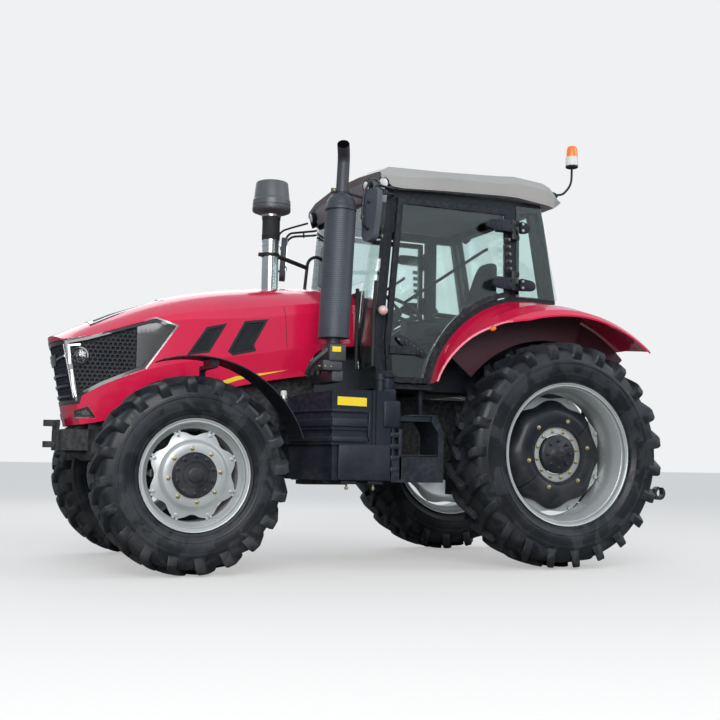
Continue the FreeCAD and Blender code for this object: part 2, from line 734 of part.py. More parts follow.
link_ear = box((rear_x + LINK_PIVOT[0] - 45, rear_x + LINK_PIVOT[0] + 60), (240, 262),
               (LINK_PIVOT[1] - 45, 640))
lift_pivot = (-260, 1230)
rear_mount = box((rear_x - 100, rear_x + 20), (150, 230), (1290, size.platform_height - size.seat_gap))
rear_axle = fuse(
    prism("xz", axle_side, -250, 250), rear_mount, mirrored(rear_mount), trumpet, mirrored(trumpet),
    link_ear, mirrored(link_ear),
    cylinder("x", 70, rear_x - 420, rear_x - 370, (0, PTO_HEIGHT)),
    box((rear_x - 460, rear_x - 370), (-45, -TOP_LINK_HALF - size.seat_gap), (980, 1110)),
    box((rear_x - 460, rear_x - 370), (TOP_LINK_HALF + size.seat_gap, 45), (980, 1110)),
    cylinder("y", 24, -500, 500, (rear_x + LINK_PIVOT[0], LINK_PIVOT[1])),
    cylinder("y", 38, -368, 368, (rear_x + lift_pivot[0], lift_pivot[1] + 140)),
    box((rear_x + lift_pivot[0] - 60, rear_x + lift_pivot[0] + 60), (-240, 240),
        (1240, lift_pivot[1] + 170)),
)
PTO_JOURNAL = 28
rear_axle = cut(rear_axle, cylinder("x", PTO_JOURNAL + size.seat_gap, rear_x - 430, rear_x - 330,
                                    (0, PTO_HEIGHT)))
piece("rear_axle_housing", rear_axle)
piece("pto_shaft", fuse(
    cylinder("x", size.pto_radius, rear_x - 520, rear_x - 420, (0, PTO_HEIGHT)),
    cylinder("x", PTO_JOURNAL, rear_x - 420, rear_x - 330 - size.seat_gap, (0, PTO_HEIGHT)),
))

# Rear hitch
HOOK_INSIDE = 32
LINK_THICK = 28
hitch_tip = rear_x - size.rear_overhang
hook_x = hitch_tip + 58
HOOK_Z = 560
LIFT_PIN = 14


ARM_REACH = 420
link_pin = (rear_x + LINK_PIVOT[0] - ARM_REACH, LINK_PIVOT[1] + 20)
link_side = [
    (rear_x + LINK_PIVOT[0] + 30, LINK_PIVOT[1] - 40), (rear_x + LINK_PIVOT[0] + 30, LINK_PIVOT[1] + 40),
    (hook_x + 30, HOOK_Z + 38), (hook_x + 30, HOOK_Z - 38),
]
hook = cut(
    fuse(cylinder("y", 58, 410, 460, (hook_x, HOOK_Z)), prism("xz", link_side, 420, 420 + LINK_THICK)),
    cylinder("y", HOOK_INSIDE, 400, 470, (hook_x, HOOK_Z)),
    box((hook_x - 30, hook_x + 8), (400, 470), (HOOK_Z, HOOK_Z + 80)),
    cylinder("y", 24 + 0.5, 400, 470, (rear_x + LINK_PIVOT[0], LINK_PIVOT[1])),
)
piece("lower_links", both_sides(fuse(hook, cylinder("y", LIFT_PIN, 362, 430, link_pin))))
LIFT_Y = 360
lift_z = lift_pivot[1] + 140
arm_tip = (rear_x + lift_pivot[0] - ARM_REACH, lift_z + 20)
lift_side = [
    (rear_x + lift_pivot[0] + 45, lift_z - 55), (rear_x + lift_pivot[0] + 45, lift_z + 55),
    (arm_tip[0] - 35, arm_tip[1] + 32), (arm_tip[0] - 35, arm_tip[1] - 32),
]
lift_arm = cut(
    prism("xz", lift_side, LIFT_Y - 28, LIFT_Y),
    cylinder("y", 38 + 0.5, LIFT_Y - 60, LIFT_Y + 60, (rear_x + lift_pivot[0], lift_z)),
)
lift_arm = fuse(lift_arm, cylinder("y", 18, LIFT_Y - 28, LIFT_Y + 40, arm_tip))
piece("lift_arms", both_sides(lift_arm))
lift_rod = fuse(
    rod([(arm_tip[0], LIFT_Y + 24, arm_tip[1] - 30), (link_pin[0], LIFT_Y + 24, link_pin[1] + 28)], 20),
    cylinder("y", 36, LIFT_Y + 6, LIFT_Y + 40, arm_tip),
    cylinder("y", 34, LIFT_Y + 6, LIFT_Y + 52, link_pin),
)
lift_rod = cut(lift_rod, cylinder("y", 18.5, LIFT_Y, LIFT_Y + 60, arm_tip),
               cylinder("y", LIFT_PIN + size.seat_gap, LIFT_Y, LIFT_Y + 60, link_pin))
piece("lift_rods", both_sides(lift_rod))
link_top = (rear_x - 420, 1045)
top_link = fuse(
    cylinder("y", 30, -TOP_LINK_HALF, TOP_LINK_HALF, link_top),
    cylinder("z", 16, 1060, 1140, (link_top[0], 0)),
    cylinder("z", 24, 1130, 1520, (link_top[0], 0)),
    cylinder("z", 16, 1500, 1700, (link_top[0], 0)),
    cylinder("y", 36, -22, 22, (link_top[0], 1715)),
)
top_link = cut(top_link, cylinder("y", 12.7, -30, 30, (link_top[0], 1715)))
piece("top_link", top_link)
drawbar = cut(
    fuse(
        box((rear_x - 860, rear_x + 120), (-45, 45), (420, 460)),
        box((rear_x - 20, rear_x + 120), (-130, 130), (460, 520 - size.seat_gap)),
        box((rear_x - 370, rear_x - 330), (-150, 150), (460, 520 - size.seat_gap)),
    ),
    cylinder("z", size.hitch_pin_radius, 410, 470, (rear_x - 815, 0)),
)
piece("drawbar", drawbar)

# Hood: one shell through sections from the cab to the nose
HOOD_SECTIONS = (
    # x ahead of the rear axle; then half width and height at the lower edge, the waist crease,
    # the shoulder's lower crease and its upper crease; then the height of the crown
    (1440, 398, 1500, 412, 1690, 408, 1925, 392, 2008, 2172),
    (2000, 402, 1412, 420, 1631, 412, 1893, 395, 1970, 2143),
    (2500, 402, 1305, 422, 1540, 412, 1832, 395, 1903, 2088),
    (2900, 396, 1185, 418, 1470, 410, 1792, 392, 1838, 2004),
    (3300, 375, 1062, 398, 1342, 390, 1690, 375, 1722, 1862),
    (3780, 325, 1010, 345, 1110, 340, 1575, 325, 1596, 1640),
)


def hood_wire(section, wall, drop):
    """One closed section of the hood, drawn in by a wall and down by a drop."""
    x, *creases, crown = section
    place_x = (rear_x + x).value
    heights = [creases[1] - drop, creases[3], creases[5] - wall / 4, creases[7] - wall / 2]
    left = [Vector(place_x, half - wall, z) for half, z in zip(creases[::2], heights)]
    right = [Vector(point.x, -point.y, point.z) for point in left]
    edges = [Part.Arc(left[-1], Vector(place_x, 0, crown - wall), right[-1]).toShape()]
    around = [right[-1], *reversed(right[:-1]), *left]
    edges += [Part.LineSegment(first, second).toShape() for first, second in zip(around, around[1:])]
    return Part.Wire(edges)


def hood_loft(wall, drop):
    """The hood's outer or inner form."""
    item = doc.addObject("Part::Feature", "HoodForm")
    item.Shape = Part.makeLoft([hood_wire(section, wall, drop) for section in HOOD_SECTIONS], True, False)
    return item


NOSE_LEAN = 0.21
NOSE_CORNER = 3500
NOSE_MIDDLE = 3600


def nose_form(back):
    """What lies behind the nose's bowed and leaning face, set back by a wall."""
    body = doc.addObject("PartDesign::Body", "Nose")
    sagitta = NOSE_MIDDLE - NOSE_CORNER
    bow = (450 ** 2 + sagitta ** 2) / (2 * sagitta)
    outline = [
        (rear_x + 1000, -450), (rear_x + NOSE_CORNER - back, -450, bow),
        (rear_x + NOSE_CORNER - back, 450), (rear_x + 1000, 450),
    ]
    sketch = outline_sketch(body, "xy", outline, 1000)
    pad = body.newObject("PartDesign::Pad", "Pad")
    pad.Profile = sketch
    pad.Length = 1300
    pad.UseCustomVector = True
    pad.Direction = Vector(NOSE_LEAN, 0, 1)
    pad.AlongSketchNormal = True
    return body


outer_hood = common(hood_loft(0, 0), nose_form(0))
inner_hood = common(hood_loft(size.hood_wall.value, 60), nose_form(size.hood_wall.value))
hood_solid = cut(outer_hood, inner_hood)

# Panels that fill openings in the hood: outlines ahead of the rear axle, or across it, and height
MASK_SIDE = (
    (3740, 1610), (3512, 1643), (3037, 1800), (2884, 1751), (3104, 1430), (3399, 1298), (3537, 1217),
    (3550, 1157), (3680, 1157),
)
MASK_FRONT = ((-340, 1157), (340, 1157), (340, 1612), (-340, 1612))
VENTS = (
    ((2803, 1541), (2634, 1569), (2502, 1797), (2658, 1758)),
    ((2496, 1584), (2453, 1556), (2275, 1600), (2292, 1644), (2182, 1848), (2367, 1822)),
)
TOP_SCOOP = ((2930, -150), (3480, -230), (3480, 230), (2930, 150))
HEADLAMP = ((3560, 1585), (3590, 1440), (3660, 1425), (3740, 1585))
FOG_LAMP = ((3579, 1060), (3588, 1109), (3486, 1145), (3433, 1061))
REAR_NOTCH = (
    (1400, 1300), (1858, 1300), (1855, 1440), (1850, 1530), (1795, 1610), (1720, 1655), (1400, 1690),
)
BAND = 300
LAMP_INSIDE = 215


def side_prism(outline, gap=0):
    """A prism right through both sides of the hood."""
    points = from_rear(*outline)
    return prism("xz", inset(points, gap) if gap else points, -450, 450)


def front_prism(outline, gap=0):
    """A prism through the nose."""
    return prism("yz", inset(outline, gap) if gap else outline, rear_x + 3400, rear_x + 3800)


def top_prism(outline, gap=0):
    """A prism down through the top of the hood."""
    points = from_rear(*outline)
    return prism("xy", inset(points, gap) if gap else points, 1700, 2100)


def outside(half):
    """The space on both sides that lies further out than a half width."""
    return group(box((rear_x + 1400, rear_x + 3800), (half, 450), (900, 2200)),
                 box((rear_x + 1400, rear_x + 3800), (-450, -half), (900, 2200)))


def mask_prism(gap=0):
    """The prism of the mask that wraps the nose between its two sides."""
    return fuse(common(side_prism(MASK_SIDE, gap), outside(BAND)), front_prism(MASK_FRONT, gap))


def lamp_prisms(gap=0):
    """The prisms of the headlamps at the mask's corners, and of the fog lamps below it."""
    headlamps = common(side_prism(HEADLAMP, gap), outside(LAMP_INSIDE))
    return [headlamps, common(side_prism(FOG_LAMP, gap), outside(BAND))]


hood_shell = cut(
    hood_solid, mask_prism(), *[common(side_prism(outline), outside(BAND)) for outline in VENTS],
    top_prism(TOP_SCOOP), lamp_prisms()[1], common(side_prism(REAR_NOTCH), outside(BAND)),
)
hood_hinge = (rear_x + size.hood_hinge_x, size.hood_hinge_height)
hinge_span = (hood_hinge[0] - size.hood_pin_radius, hood_hinge[0] + size.hood_pin_radius)
hood_lugs = [common(outer_hood, box(hinge_span, low_high, (hood_hinge[1], hood_hinge[1] + 60)))
             for low_high in ((36, 60), (-60, -36))]
piece("hood_shell", fuse(hood_shell, cylinder("y", size.hood_pin_radius, -60, 60, hood_hinge), *hood_lugs))


def inside(point, outline, margin):
    """Whether a point lies inside a convex outline by a margin."""
    spots = [Vector(*spot, 0) for spot in outline]
    turns = [(after - before).cross(Vector(*point, 0) - before).z / (after - before).Length
             for before, after in zip(spots, spots[1:] + spots[:1])]
    return min(turns) > margin or max(turns) < -margin


def honeycomb(outline, pitch, radius):
    """Hexagonal prisms through both sides in staggered rows inside an outline."""
    cells = []
    low_x, high_x = min(x for x, z in outline), max(x for x, z in outline)
    low_z, high_z = min(z for x, z in outline), max(z for x, z in outline)
    step = pitch * math.sqrt(3) / 2
    for row in range(int((high_z - low_z) / step) + 1):
        for column in range(int((high_x - low_x) / pitch) + 1):
            spot = (low_x + (column + row % 2 / 2) * pitch, low_z + row * step)
            if not inside(spot, outline, radius + 8):
                continue
            cell = doc.addObject("Part::Prism", "Cell")
            cell.Polygon = 6
            cell.Circumradius = radius
            cell.Height = 900
            turn = FreeCAD.Rotation(AXIS["y"], 30) * FreeCAD.Rotation(AXIS["z"], AXIS["y"])
            cell.Placement = FreeCAD.Placement(Vector(), turn)
            place(cell, (rear_x + spot[0], -450, spot[1]))
            cells.append(cell)
    return group(*cells)


MESH_SIDE = ((3500, 1632), (3060, 1775), (2925, 1735), (3120, 1450), (3400, 1322), (3500, 1262))
SLATS = [1195, 1255, 1315, 1375]
mask = cut(
    common(hood_solid, mask_prism(size.seat_gap)), lamp_prisms()[0],
    common(honeycomb(MESH_SIDE, 100, 42), outside(BAND)),
    *[box((rear_x + 3400, rear_x + 3800), (-230, 230), (z, z + 26)) for z in SLATS],
    box((rear_x + 3400, rear_x + 3800), (-170, 170), (1440, 1580)),
)
louvres = [common(hood_solid, common(side_prism(outline, size.seat_gap), outside(BAND)))
           for outline in VENTS]
scoop = common(hood_solid, top_prism(TOP_SCOOP, size.seat_gap))
piece("hood_grilles", group(mask, *louvres, scoop))
piece("headlamps", group(*[common(hood_solid, prism_pair) for prism_pair in lamp_prisms(size.seat_gap)]))

# Rear fender: a shell through sections at four distances from the middle
FENDER_SECTIONS = (
    # y, front end x and z, crown x and z, rear end x and z, ahead of the rear axle
    (640, 985, 1390, 150, 2080, -800, 1745),
    (800, 985, 1390, 150, 2080, -800, 1745),
    (1000, 1000, 1420, 60, 2035, -800, 1725),
    (1125, 1040, 1440, -20, 1985, -785, 1710),
    (1165, 1060, 1425, -50, 1945, -765, 1690),
)


def fender_wire(section, wall):
    """One closed band of the fender's shell in a lengthwise plane."""
    y, front_end, front_low, crown_x, crown_z, rear_end, rear_low = section
    curves = []
    for inner in (0, wall):
        ends = []
        for end_x, end_z in ((front_end, front_low), (rear_end, rear_low)):
            radius = crown_radius(end_x - crown_x, crown_z - end_z)
            centre = Vector(crown_x, 0, crown_z - radius)
            spoke = (Vector(end_x, 0, end_z) - centre).normalize()
            half = (spoke + AXIS["z"]).normalize()
            ends.append([centre + direction * (radius - inner) for direction in (spoke, half)])
        crown = Vector(crown_x, 0, crown_z - inner)
        curves.append([ends[0][0], ends[0][1], crown, ends[1][1], ends[1][0]])
    shift = Vector(rear_x.value, y, 0)
    outer, inner = [[point + shift for point in curve] for curve in curves]
    return Part.Wire([
        Part.Arc(*outer[:3]).toShape(), Part.Arc(*outer[2:]).toShape(),
        Part.LineSegment(outer[4], inner[4]).toShape(),
        Part.Arc(inner[4], inner[3], inner[2]).toShape(), Part.Arc(inner[2], inner[1], inner[0]).toShape(),
        Part.LineSegment(inner[0], outer[0]).toShape(),
    ])


fender = doc.addObject("Part::Feature", "FenderShell")
fender.Shape = Part.makeLoft([fender_wire(section, size.fender_wall.value) for section in FENDER_SECTIONS],
                             True, True)
FENDER_PLAN = (
    (-900, 600), (-900, 1180), (260, 1180), (480, 1140), (650, 1080), (860, 970), (1030, 860), (1100, 600),
)
fender = common(fender, prism("xy", from_rear(*FENDER_PLAN), 1200, 2200))
pair("fender_rear", fender)


def fender_curve(offset):
    """Outline points along the fender's inner edge, moved out by an offset."""
    _, front_end, low, crown_x, crown_z, *_ = FENDER_SECTIONS[0]
    radius = crown_radius(front_end - crown_x, crown_z - low)
    ratio = ((front_end - crown_x) / radius, (low - crown_z + radius) / radius)
    return {
        "front": (rear_x + front_end + ratio[0] * as_size(offset), low + ratio[1] * as_size(offset)),
        "crown": (rear_x + crown_x, crown_z + as_size(offset)),
        "radius": radius + as_size(offset),
    }


# Cab frame: floor, walls, pillars and rails as one weldment
side = size.cab_side
inner_wall = size.cab_inner_wall
plate = size.cab_plate
back_x = rear_x - size.cab_back
cab_x = rear_x + size.cab_front
SILL = size.floor_height + 2


def low_curve(offset, back, back_z):
    """The cab side's lower edge, from its back corner forward to the sill."""
    curve = fender_curve(offset)
    return [(back, back_z + as_size(offset)), curve["crown"] + (-curve["radius"],), curve["front"],
            (curve["front"][0], as_size(SILL))]


frame_outline = low_curve(size.seat_gap, back_x, 2080) + [
    (cab_x, SILL), (cab_x + 30, 1700), (cab_x - 70, size.cab_top), (back_x + 140, size.cab_top),
]
DOOR_TOP = 2810
HINGE_HEIGHTS = (2230, 2640)
hinge_x = rear_x + size.door_hinge_x


def curve_height(x, offset):
    """Height of the fender's inner curve at a distance ahead of the rear axle."""
    _, front_end, low, crown_x, crown_z, *_ = FENDER_SECTIONS[0]
    radius = crown_radius(front_end - crown_x, crown_z - low)
    reach = radius + as_size(offset)
    drop = reach.value - math.sqrt(reach.value ** 2 - (x - crown_x) ** 2)
    return crown_z + as_size(offset) - drop


def curve_reach(z, offset):
    """How far ahead of the rear axle the fender's inner curve lies at a height."""
    _, front_end, low, crown_x, crown_z, *_ = FENDER_SECTIONS[0]
    reach = crown_radius(front_end - crown_x, crown_z - low) + offset
    return crown_x + math.sqrt(reach ** 2 - (z - crown_z - offset + reach) ** 2)


def door_outline(gap):
    """Outline of the doorway drawn in by a gap."""
    curve = fender_curve(gap + 34)
    back = size.door_hinge_x.value + 10 + gap.value
    low = SILL + 36 + gap
    foot = [curve["front"], (curve["front"][0], low)]
    if foot[0][1].value < low.value:
        foot = [(rear_x + curve_reach(low.value, gap.value + 34), low)]
    return [
        (hinge_x + 10 + gap, curve_height(back, gap + 34), -curve["radius"]), *foot, (cab_x - 60 - gap, low),
        (cab_x - 40 - gap, 1700), (cab_x - 130 - gap, DOOR_TOP - as_size(gap)),
        (hinge_x + 10 + gap, DOOR_TOP - as_size(gap)),
    ]


quarter_low = 2080 + 40
quarter_open = [
    (back_x + 60, quarter_low), (hinge_x - 90, quarter_low), (hinge_x - 90, DOOR_TOP),
    (back_x + 170, DOOR_TOP),
]
frame_side = cut(prism("xz", frame_outline, side - 90, side - 34),
                 prism("xz", door_outline(as_size(0)), side - 120, side + 20),
                 prism("xz", quarter_open, side - 120, side + 20))
ledge_curve = fender_curve(size.seat_gap)
ledge_top = fender_curve(size.seat_gap + 26)
ledge_outline = [
    (back_x, 2080 + size.seat_gap), ledge_curve["crown"] + (-ledge_curve["radius"],), ledge_curve["front"],
    ledge_top["front"] + (ledge_top["radius"],), ledge_top["crown"], (back_x, 2106 + size.seat_gap),
]
ledge_strip = prism("xz", ledge_outline, inner_wall - plate, side - 34)
wall_curve = fender_curve(size.seat_gap)
wall_outline = [
    (back_x, size.platform_height), (rear_x + 430, size.platform_height), (rear_x + 430, size.floor_height),
    (wall_curve["front"][0] + 30, size.floor_height), (wall_curve["front"][0] + 30, wall_curve["front"][1]),
    wall_curve["front"] + (wall_curve["radius"],), wall_curve["crown"], (back_x, 2080 + size.seat_gap),
]
wall = prism("xz", wall_outline, inner_wall - plate, inner_wall)
corner_post = prism("xz", [(back_x, 2090), (back_x + 50, 2090), (back_x + 190, size.cab_top),
                           (back_x + 140, size.cab_top)], inner_wall - plate, inner_wall + 20)
hinge_lugs = []
for z in HINGE_HEIGHTS:
    for low, high in ((z - 75, z - 40 - size.seat_gap), (z + 40 + size.seat_gap, z + 75)):
        hinge_lugs.append(cylinder("z", 22, low, high, (hinge_x, side + 28)))
        hinge_lugs.append(box((hinge_x - 60, hinge_x + 10), (side - 35, side + 28), (low, high)))
half_cab = [frame_side, ledge_strip, wall, corner_post] + hinge_lugs
FLOOR_FRONT = 430
front_sill = box((wall_curve["front"][0] - 20, cab_x), (0, side - 34),
                 (size.floor_height, size.floor_height + plate))
hood_saddle = cut(
    fuse(box((cab_x - 10, hood_hinge[0] + 15), (-30, 30), (hood_hinge[1] - 45, hood_hinge[1] - 22)),
         box((hood_hinge[0] - 2, hood_hinge[0] + 15), (-30, 30), (hood_hinge[1] - 30, hood_hinge[1]))),
    cylinder("y", size.hood_pin_radius + size.seat_gap, -50, 50, hood_hinge),
)
cab_frame = fuse(
    hood_saddle, *half_cab, *[mirrored(item) for item in half_cab], front_sill, mirrored(front_sill),
    box((rear_x + FLOOR_FRONT, cab_x), (-inner_wall, inner_wall),
        (size.floor_height, size.floor_height + plate)),
    box((rear_x + FLOOR_FRONT, rear_x + FLOOR_FRONT + plate), (-inner_wall, inner_wall),
        (size.floor_height, size.platform_height + plate)),
    box((back_x, rear_x + FLOOR_FRONT + plate), (-inner_wall, inner_wall),
        (size.platform_height, size.platform_height + plate)),
    box((back_x, back_x + plate), (-inner_wall, inner_wall), (size.platform_height, 2106)),
    box((cab_x - plate, cab_x), (-(side - 90), side - 90), (size.floor_height, size.floor_height + 160)),
    box((cab_x - plate, cab_x), (-430, 430), (size.floor_height + 160, 2120)),
    box((cab_x - 140, cab_x - 70), (-(side - 34), side - 34), (2820, size.cab_top)),
    box((back_x + 140, back_x + 210), (-(side - 34), side - 34), (2820, size.cab_top)),
)
piece("cab_frame", cab_frame)

# Doors, hung on the pillar behind the doorway
door_shape = door_outline(size.door_gap)


def door_hole():
    """The pane's outline inside the door frame."""
    return door_outline(size.door_gap + size.door_rim)


door = cut(
    prism("xz", door_shape, side - size.door_wall + 6, side + 6),
    prism("xz", door_hole(), side - 60, side + 30),
)
knuckles = []
for z in HINGE_HEIGHTS:
    knuckles.append(cylinder("z", 22, z - 40, z + 40, (hinge_x, side + 28)))
    knuckles.append(box((hinge_x, hinge_x + 150), (side + 6, side + 40), (z - 26, z + 26)))
handle = box((cab_x - 300, cab_x - 75), (side + 6, side + 34), (1600, 1660))
pair("door_frame", fuse(door, *knuckles, handle))
pair("door_glass", prism("xz", door_outline(size.door_gap + size.door_rim + size.seat_gap * 3),
                         side - 20, side - 20 + size.glass))

# Fixed glass
SCREEN_LOW = 1505
SCREEN_TOP = 2865


def frame_front(z, gap):
    """The front edge of the cab's pillars at a height, moved forward by a gap."""
    return cab_x + 30 - 100 * (z - 1700) / (size.cab_top - 1700) + gap


screen_side = [
    (cab_x + 30 * (SCREEN_LOW - SILL) / (1700 - SILL) + size.seat_gap, SCREEN_LOW),
    (cab_x + 30 * (SCREEN_LOW - SILL) / (1700 - SILL) + size.seat_gap + size.glass, SCREEN_LOW),
    (frame_front(1700, size.seat_gap + size.glass), 1700),
    (frame_front(SCREEN_TOP, size.seat_gap + size.glass), SCREEN_TOP),
    (frame_front(SCREEN_TOP, size.seat_gap), SCREEN_TOP), (frame_front(1700, size.seat_gap), 1700),
]
piece("windscreen", cut(prism("xz", screen_side, 34 - side, side - 34),
                        box((cab_x - 50, cab_x + 60), (-440, 440), (1400, 2190))))
quarter = [
    (back_x - 10, 2110), (hinge_x - 60, 2110), (hinge_x - 60, 2850), (back_x + 140, 2850),
]
quarter_pane = prism("xz", quarter, side - 34 + size.seat_gap, side - 34 + size.seat_gap + size.glass)
POST_LOW = 2090
post_lean = 140 / (size.cab_top - POST_LOW)
PANE = (2112, 2850)
pane_ends = [back_x + post_lean * (z - POST_LOW) - size.seat_gap for z in PANE]
rear_pane_side = [
    (pane_ends[0] - size.glass, PANE[0]), (pane_ends[0], PANE[0]), (pane_ends[1], PANE[1]),
    (pane_ends[1] - size.glass, PANE[1]),
]
piece("cab_windows", group(quarter_pane, mirrored(quarter_pane),
                           prism("xz", rear_pane_side, -inner_wall + 10, inner_wall - 10)))

# Roof
ROOF_SIDE = (
    (1500, 2880), (1530, 2905), (1480, 3000), (1200, 3060), (400, 3100), (-120, 3095), (-280, 2985),
    (-280, 2950), (-60, 2880),
)
roof_half = size.roof_half_width
ROOF_PLAN = ((1560, -560), (1560, 560), (1380, 900), (-120, 900), (-320, 700), (-320, -700), (-120, -900),
             (1380, -900))
roof_end = [
    (-roof_half, 2880), (roof_half, 2880), (roof_half, 2960),
    (roof_half - 160, 3060), (roof_half - 330, 3110),
    (330 - roof_half, 3110), (160 - roof_half, 3060), (-roof_half, 2960),
]
roof = common(
    common(prism("xz", from_rear(*[(x, z + size.seat_gap) for x, z in ROOF_SIDE]), -roof_half, roof_half),
           prism("yz", roof_end, rear_x - 400, rear_x + 1600)),
    prism("xy", from_rear(*ROOF_PLAN), 2800, 3200))
piece("cab_roof", roof)
front_lamp = cylinder("x", 55, rear_x + 1400, rear_x + 1500, (560, 2825))
rear_lamp = cylinder("x", 50, rear_x - 120, rear_x - 60, (560, 2830))
piece("work_lamps", group(front_lamp, mirrored(front_lamp), rear_lamp, mirrored(rear_lamp)))
tail_lamp = box((back_x - 55, back_x - size.seat_gap), (440, 600), (1890, 1960))
piece("tail_lamps", both_sides(tail_lamp))
beacon_at = (rear_x - 400, 600)
piece("beacon", fuse(
    cut(cylinder("z", 34, 2990, 3070, (rear_x - 230, beacon_at[1])), roof),
    rod([(rear_x - 230, beacon_at[1], 3060), (rear_x - 230, beacon_at[1], 3120), (*beacon_at, 3190),
         (*beacon_at, 3300)], 14, 30),
    cylinder("z", 42, 3290, 3330, beacon_at),
    cone("z", 56, 50, 3330, 3440, beacon_at),
    cone("z", 50, 30, 3440, 3468, beacon_at),
))

# Inside the cab
seat_deck = size.platform_height + plate + size.seat_gap
seat_pan = size.platform_height + 220
piece("seat_base", fuse(
    box((rear_x + 90, rear_x + 470), (-200, 200), (seat_deck, size.platform_height + 100)),
    box((rear_x + 130, rear_x + 440), (-160, 160), (size.platform_height + 100, seat_pan)),
))
SEAT_SIDE = (
    # x ahead of the rear axle, height above the seat pan
    (80, 40), (120, 0), (570, 0), (620, 30), (610, 120), (220, 105),
    (165, 170), (85, 660), (10, 700), (10, 480),
)
seat_side = [(rear_x + x, seat_pan + size.seat_gap + rise) for x, rise in SEAT_SIDE]
piece("seat", prism("xz", seat_side, -250, 250))
piece("side_console", fuse(
    box((rear_x + 40, rear_x + 700), (-420, -290), (size.platform_height + 260, size.platform_height + 410)),
    box((rear_x + 100, rear_x + 400), (-400, -310), (seat_deck, size.platform_height + 280)),
    rod([(rear_x + 600, -355, size.platform_height + 390),
         (rear_x + 650, -355, size.platform_height + 530)], 14),
))
wheel_at = (rear_x + 905, 0, size.floor_height + 720)
tilt = FreeCAD.Rotation(AXIS["y"], -28)
DASH_SIDE = (
    # x ahead of the rear axle, height above the cab floor
    (1050, 0), (1395, 0), (1395, 710), (1250, 740), (1080, 640), (1130, 430), (1050, 130),
)
dash_side = [(rear_x + x, size.floor_height + plate + size.seat_gap + rise) for x, rise in DASH_SIDE]
piece("dashboard", prism("xz", dash_side, -210, 210))
ring = doc.addObject("Part::Torus", "Wheel")
ring.Radius1 = 200
ring.Radius2 = 15
hub = doc.addObject("Part::Cylinder", "Hub")
hub.Radius = 38
hub.Height = 480
hub.Placement.Base = Vector(0, 0, -480)
spokes = []
for angle in (30, 150, 270):
    spoke = doc.addObject("Part::Box", "Spoke")
    spoke.Length = 195
    spoke.Width = 34
    spoke.Height = 12
    turn = FreeCAD.Rotation(AXIS["z"], angle)
    spoke.Placement = FreeCAD.Placement(turn.multVec(Vector(0, -17, -12)), turn)
    spokes.append(spoke)
wheel = fuse(ring, hub, *spokes)
wheel.Placement = FreeCAD.Placement(Vector(), tilt)
place(wheel, wheel_at)
piece("steering_wheel", cut(wheel, prism("xz", dash_side, -215, 215)))

# Fuel tank, battery box and steps
TANK_PLAN = ((1395, 0), (1860, 0), (2050, 450), (2050, 620), (1395, 620))
tank_top = 1305
tank_low = 650
tank_plan = [(rear_x + x, size.tank_outside - inward) for x, inward in TANK_PLAN]
TANK_GROOVES = (
    # x ahead of the rear axle, low and high edge, depth
    (1560, 1045, 1075, 14),
    (1560, 985, 1012, 14),
    (1650, 640, 905, 26),
)


def round_groove(start, low, high, depth):
    """A band of the tank's outer faces, from start forward, that goes in by a depth."""
    band = box((rear_x + start, rear_x + 2100), (300, size.tank_outside + 20), (low, high))
    return cut(band, prism("xy", inset(tank_plan, depth), low - 5, high + 5))


filler = (rear_x + 1445, size.tank_outside - 90)
tank_body = cut(
    prism("xy", tank_plan, tank_low, tank_top), *[round_groove(*groove) for groove in TANK_GROOVES],
    *[box((rear_x + x, rear_x + x + 14), (size.tank_outside - 10, size.tank_outside + 10),
          (910, tank_top + 10)) for x in (1510, 1540)],
    prism("xz", from_rear((1800, tank_top + 5), (2100, 1238), (2100, tank_top + 60)), 200, 1000),
)
bracket_wall = GEARBOX_HALF + size.seat_gap
bracket_end = size.tank_inside + 20
piece("fuel_tank", fuse(
    tank_body,
    cylinder("z", 48, tank_top - 10, tank_top + 85, filler),
    cylinder("z", 58, tank_top + 85, tank_top + 130, filler),
    box((rear_x + 1450, rear_x + 1500), (bracket_wall, bracket_end), (800, 1000)),
    box((rear_x + 1650, rear_x + 1700), (bracket_wall, bracket_end), (940, 980)),
))
piece("battery_box", fuse(
    box((rear_x + 1395, rear_x + 1900), (-size.tank_outside, -size.tank_inside), (tank_low, 1200)),
    box((rear_x + 1450, rear_x + 1500), (-bracket_end, -bracket_wall), (800, 1000)),
    box((rear_x + 1700, rear_x + 1750), (-bracket_end, -bracket_wall), (800, 1000)),
))
STEP_X = (960, 1385)
STEP_IN = 640
step_post = from_rear(
    (960, 640), (1005, 640), (1005, 1000), (1058, 1086), (1058, 1125), (1020, 1125), (960, 1015),
)
hanger_top = size.floor_height - size.seat_gap
step_unit = fuse(
    box((rear_x + STEP_X[0], rear_x + STEP_X[1]), (STEP_IN, size.tank_outside), (640, 830)),
    box((rear_x + 1020, rear_x + STEP_X[1]), (STEP_IN, size.tank_outside - 20), (1090, 1125)),
    prism("xz", step_post, STEP_IN, size.tank_outside),
    box((rear_x + STEP_X[1] - 20, rear_x + STEP_X[1]), (STEP_IN, size.tank_outside), (640, 1125)),
    box((rear_x + 1020, rear_x + 1050), (STEP_IN, STEP_IN + 60), (1100, hanger_top)),
    box((rear_x + STEP_X[1] - 30, rear_x + STEP_X[1]), (STEP_IN, STEP_IN + 60), (1100, hanger_top)),
)
piece("steps", both_sides(step_unit))

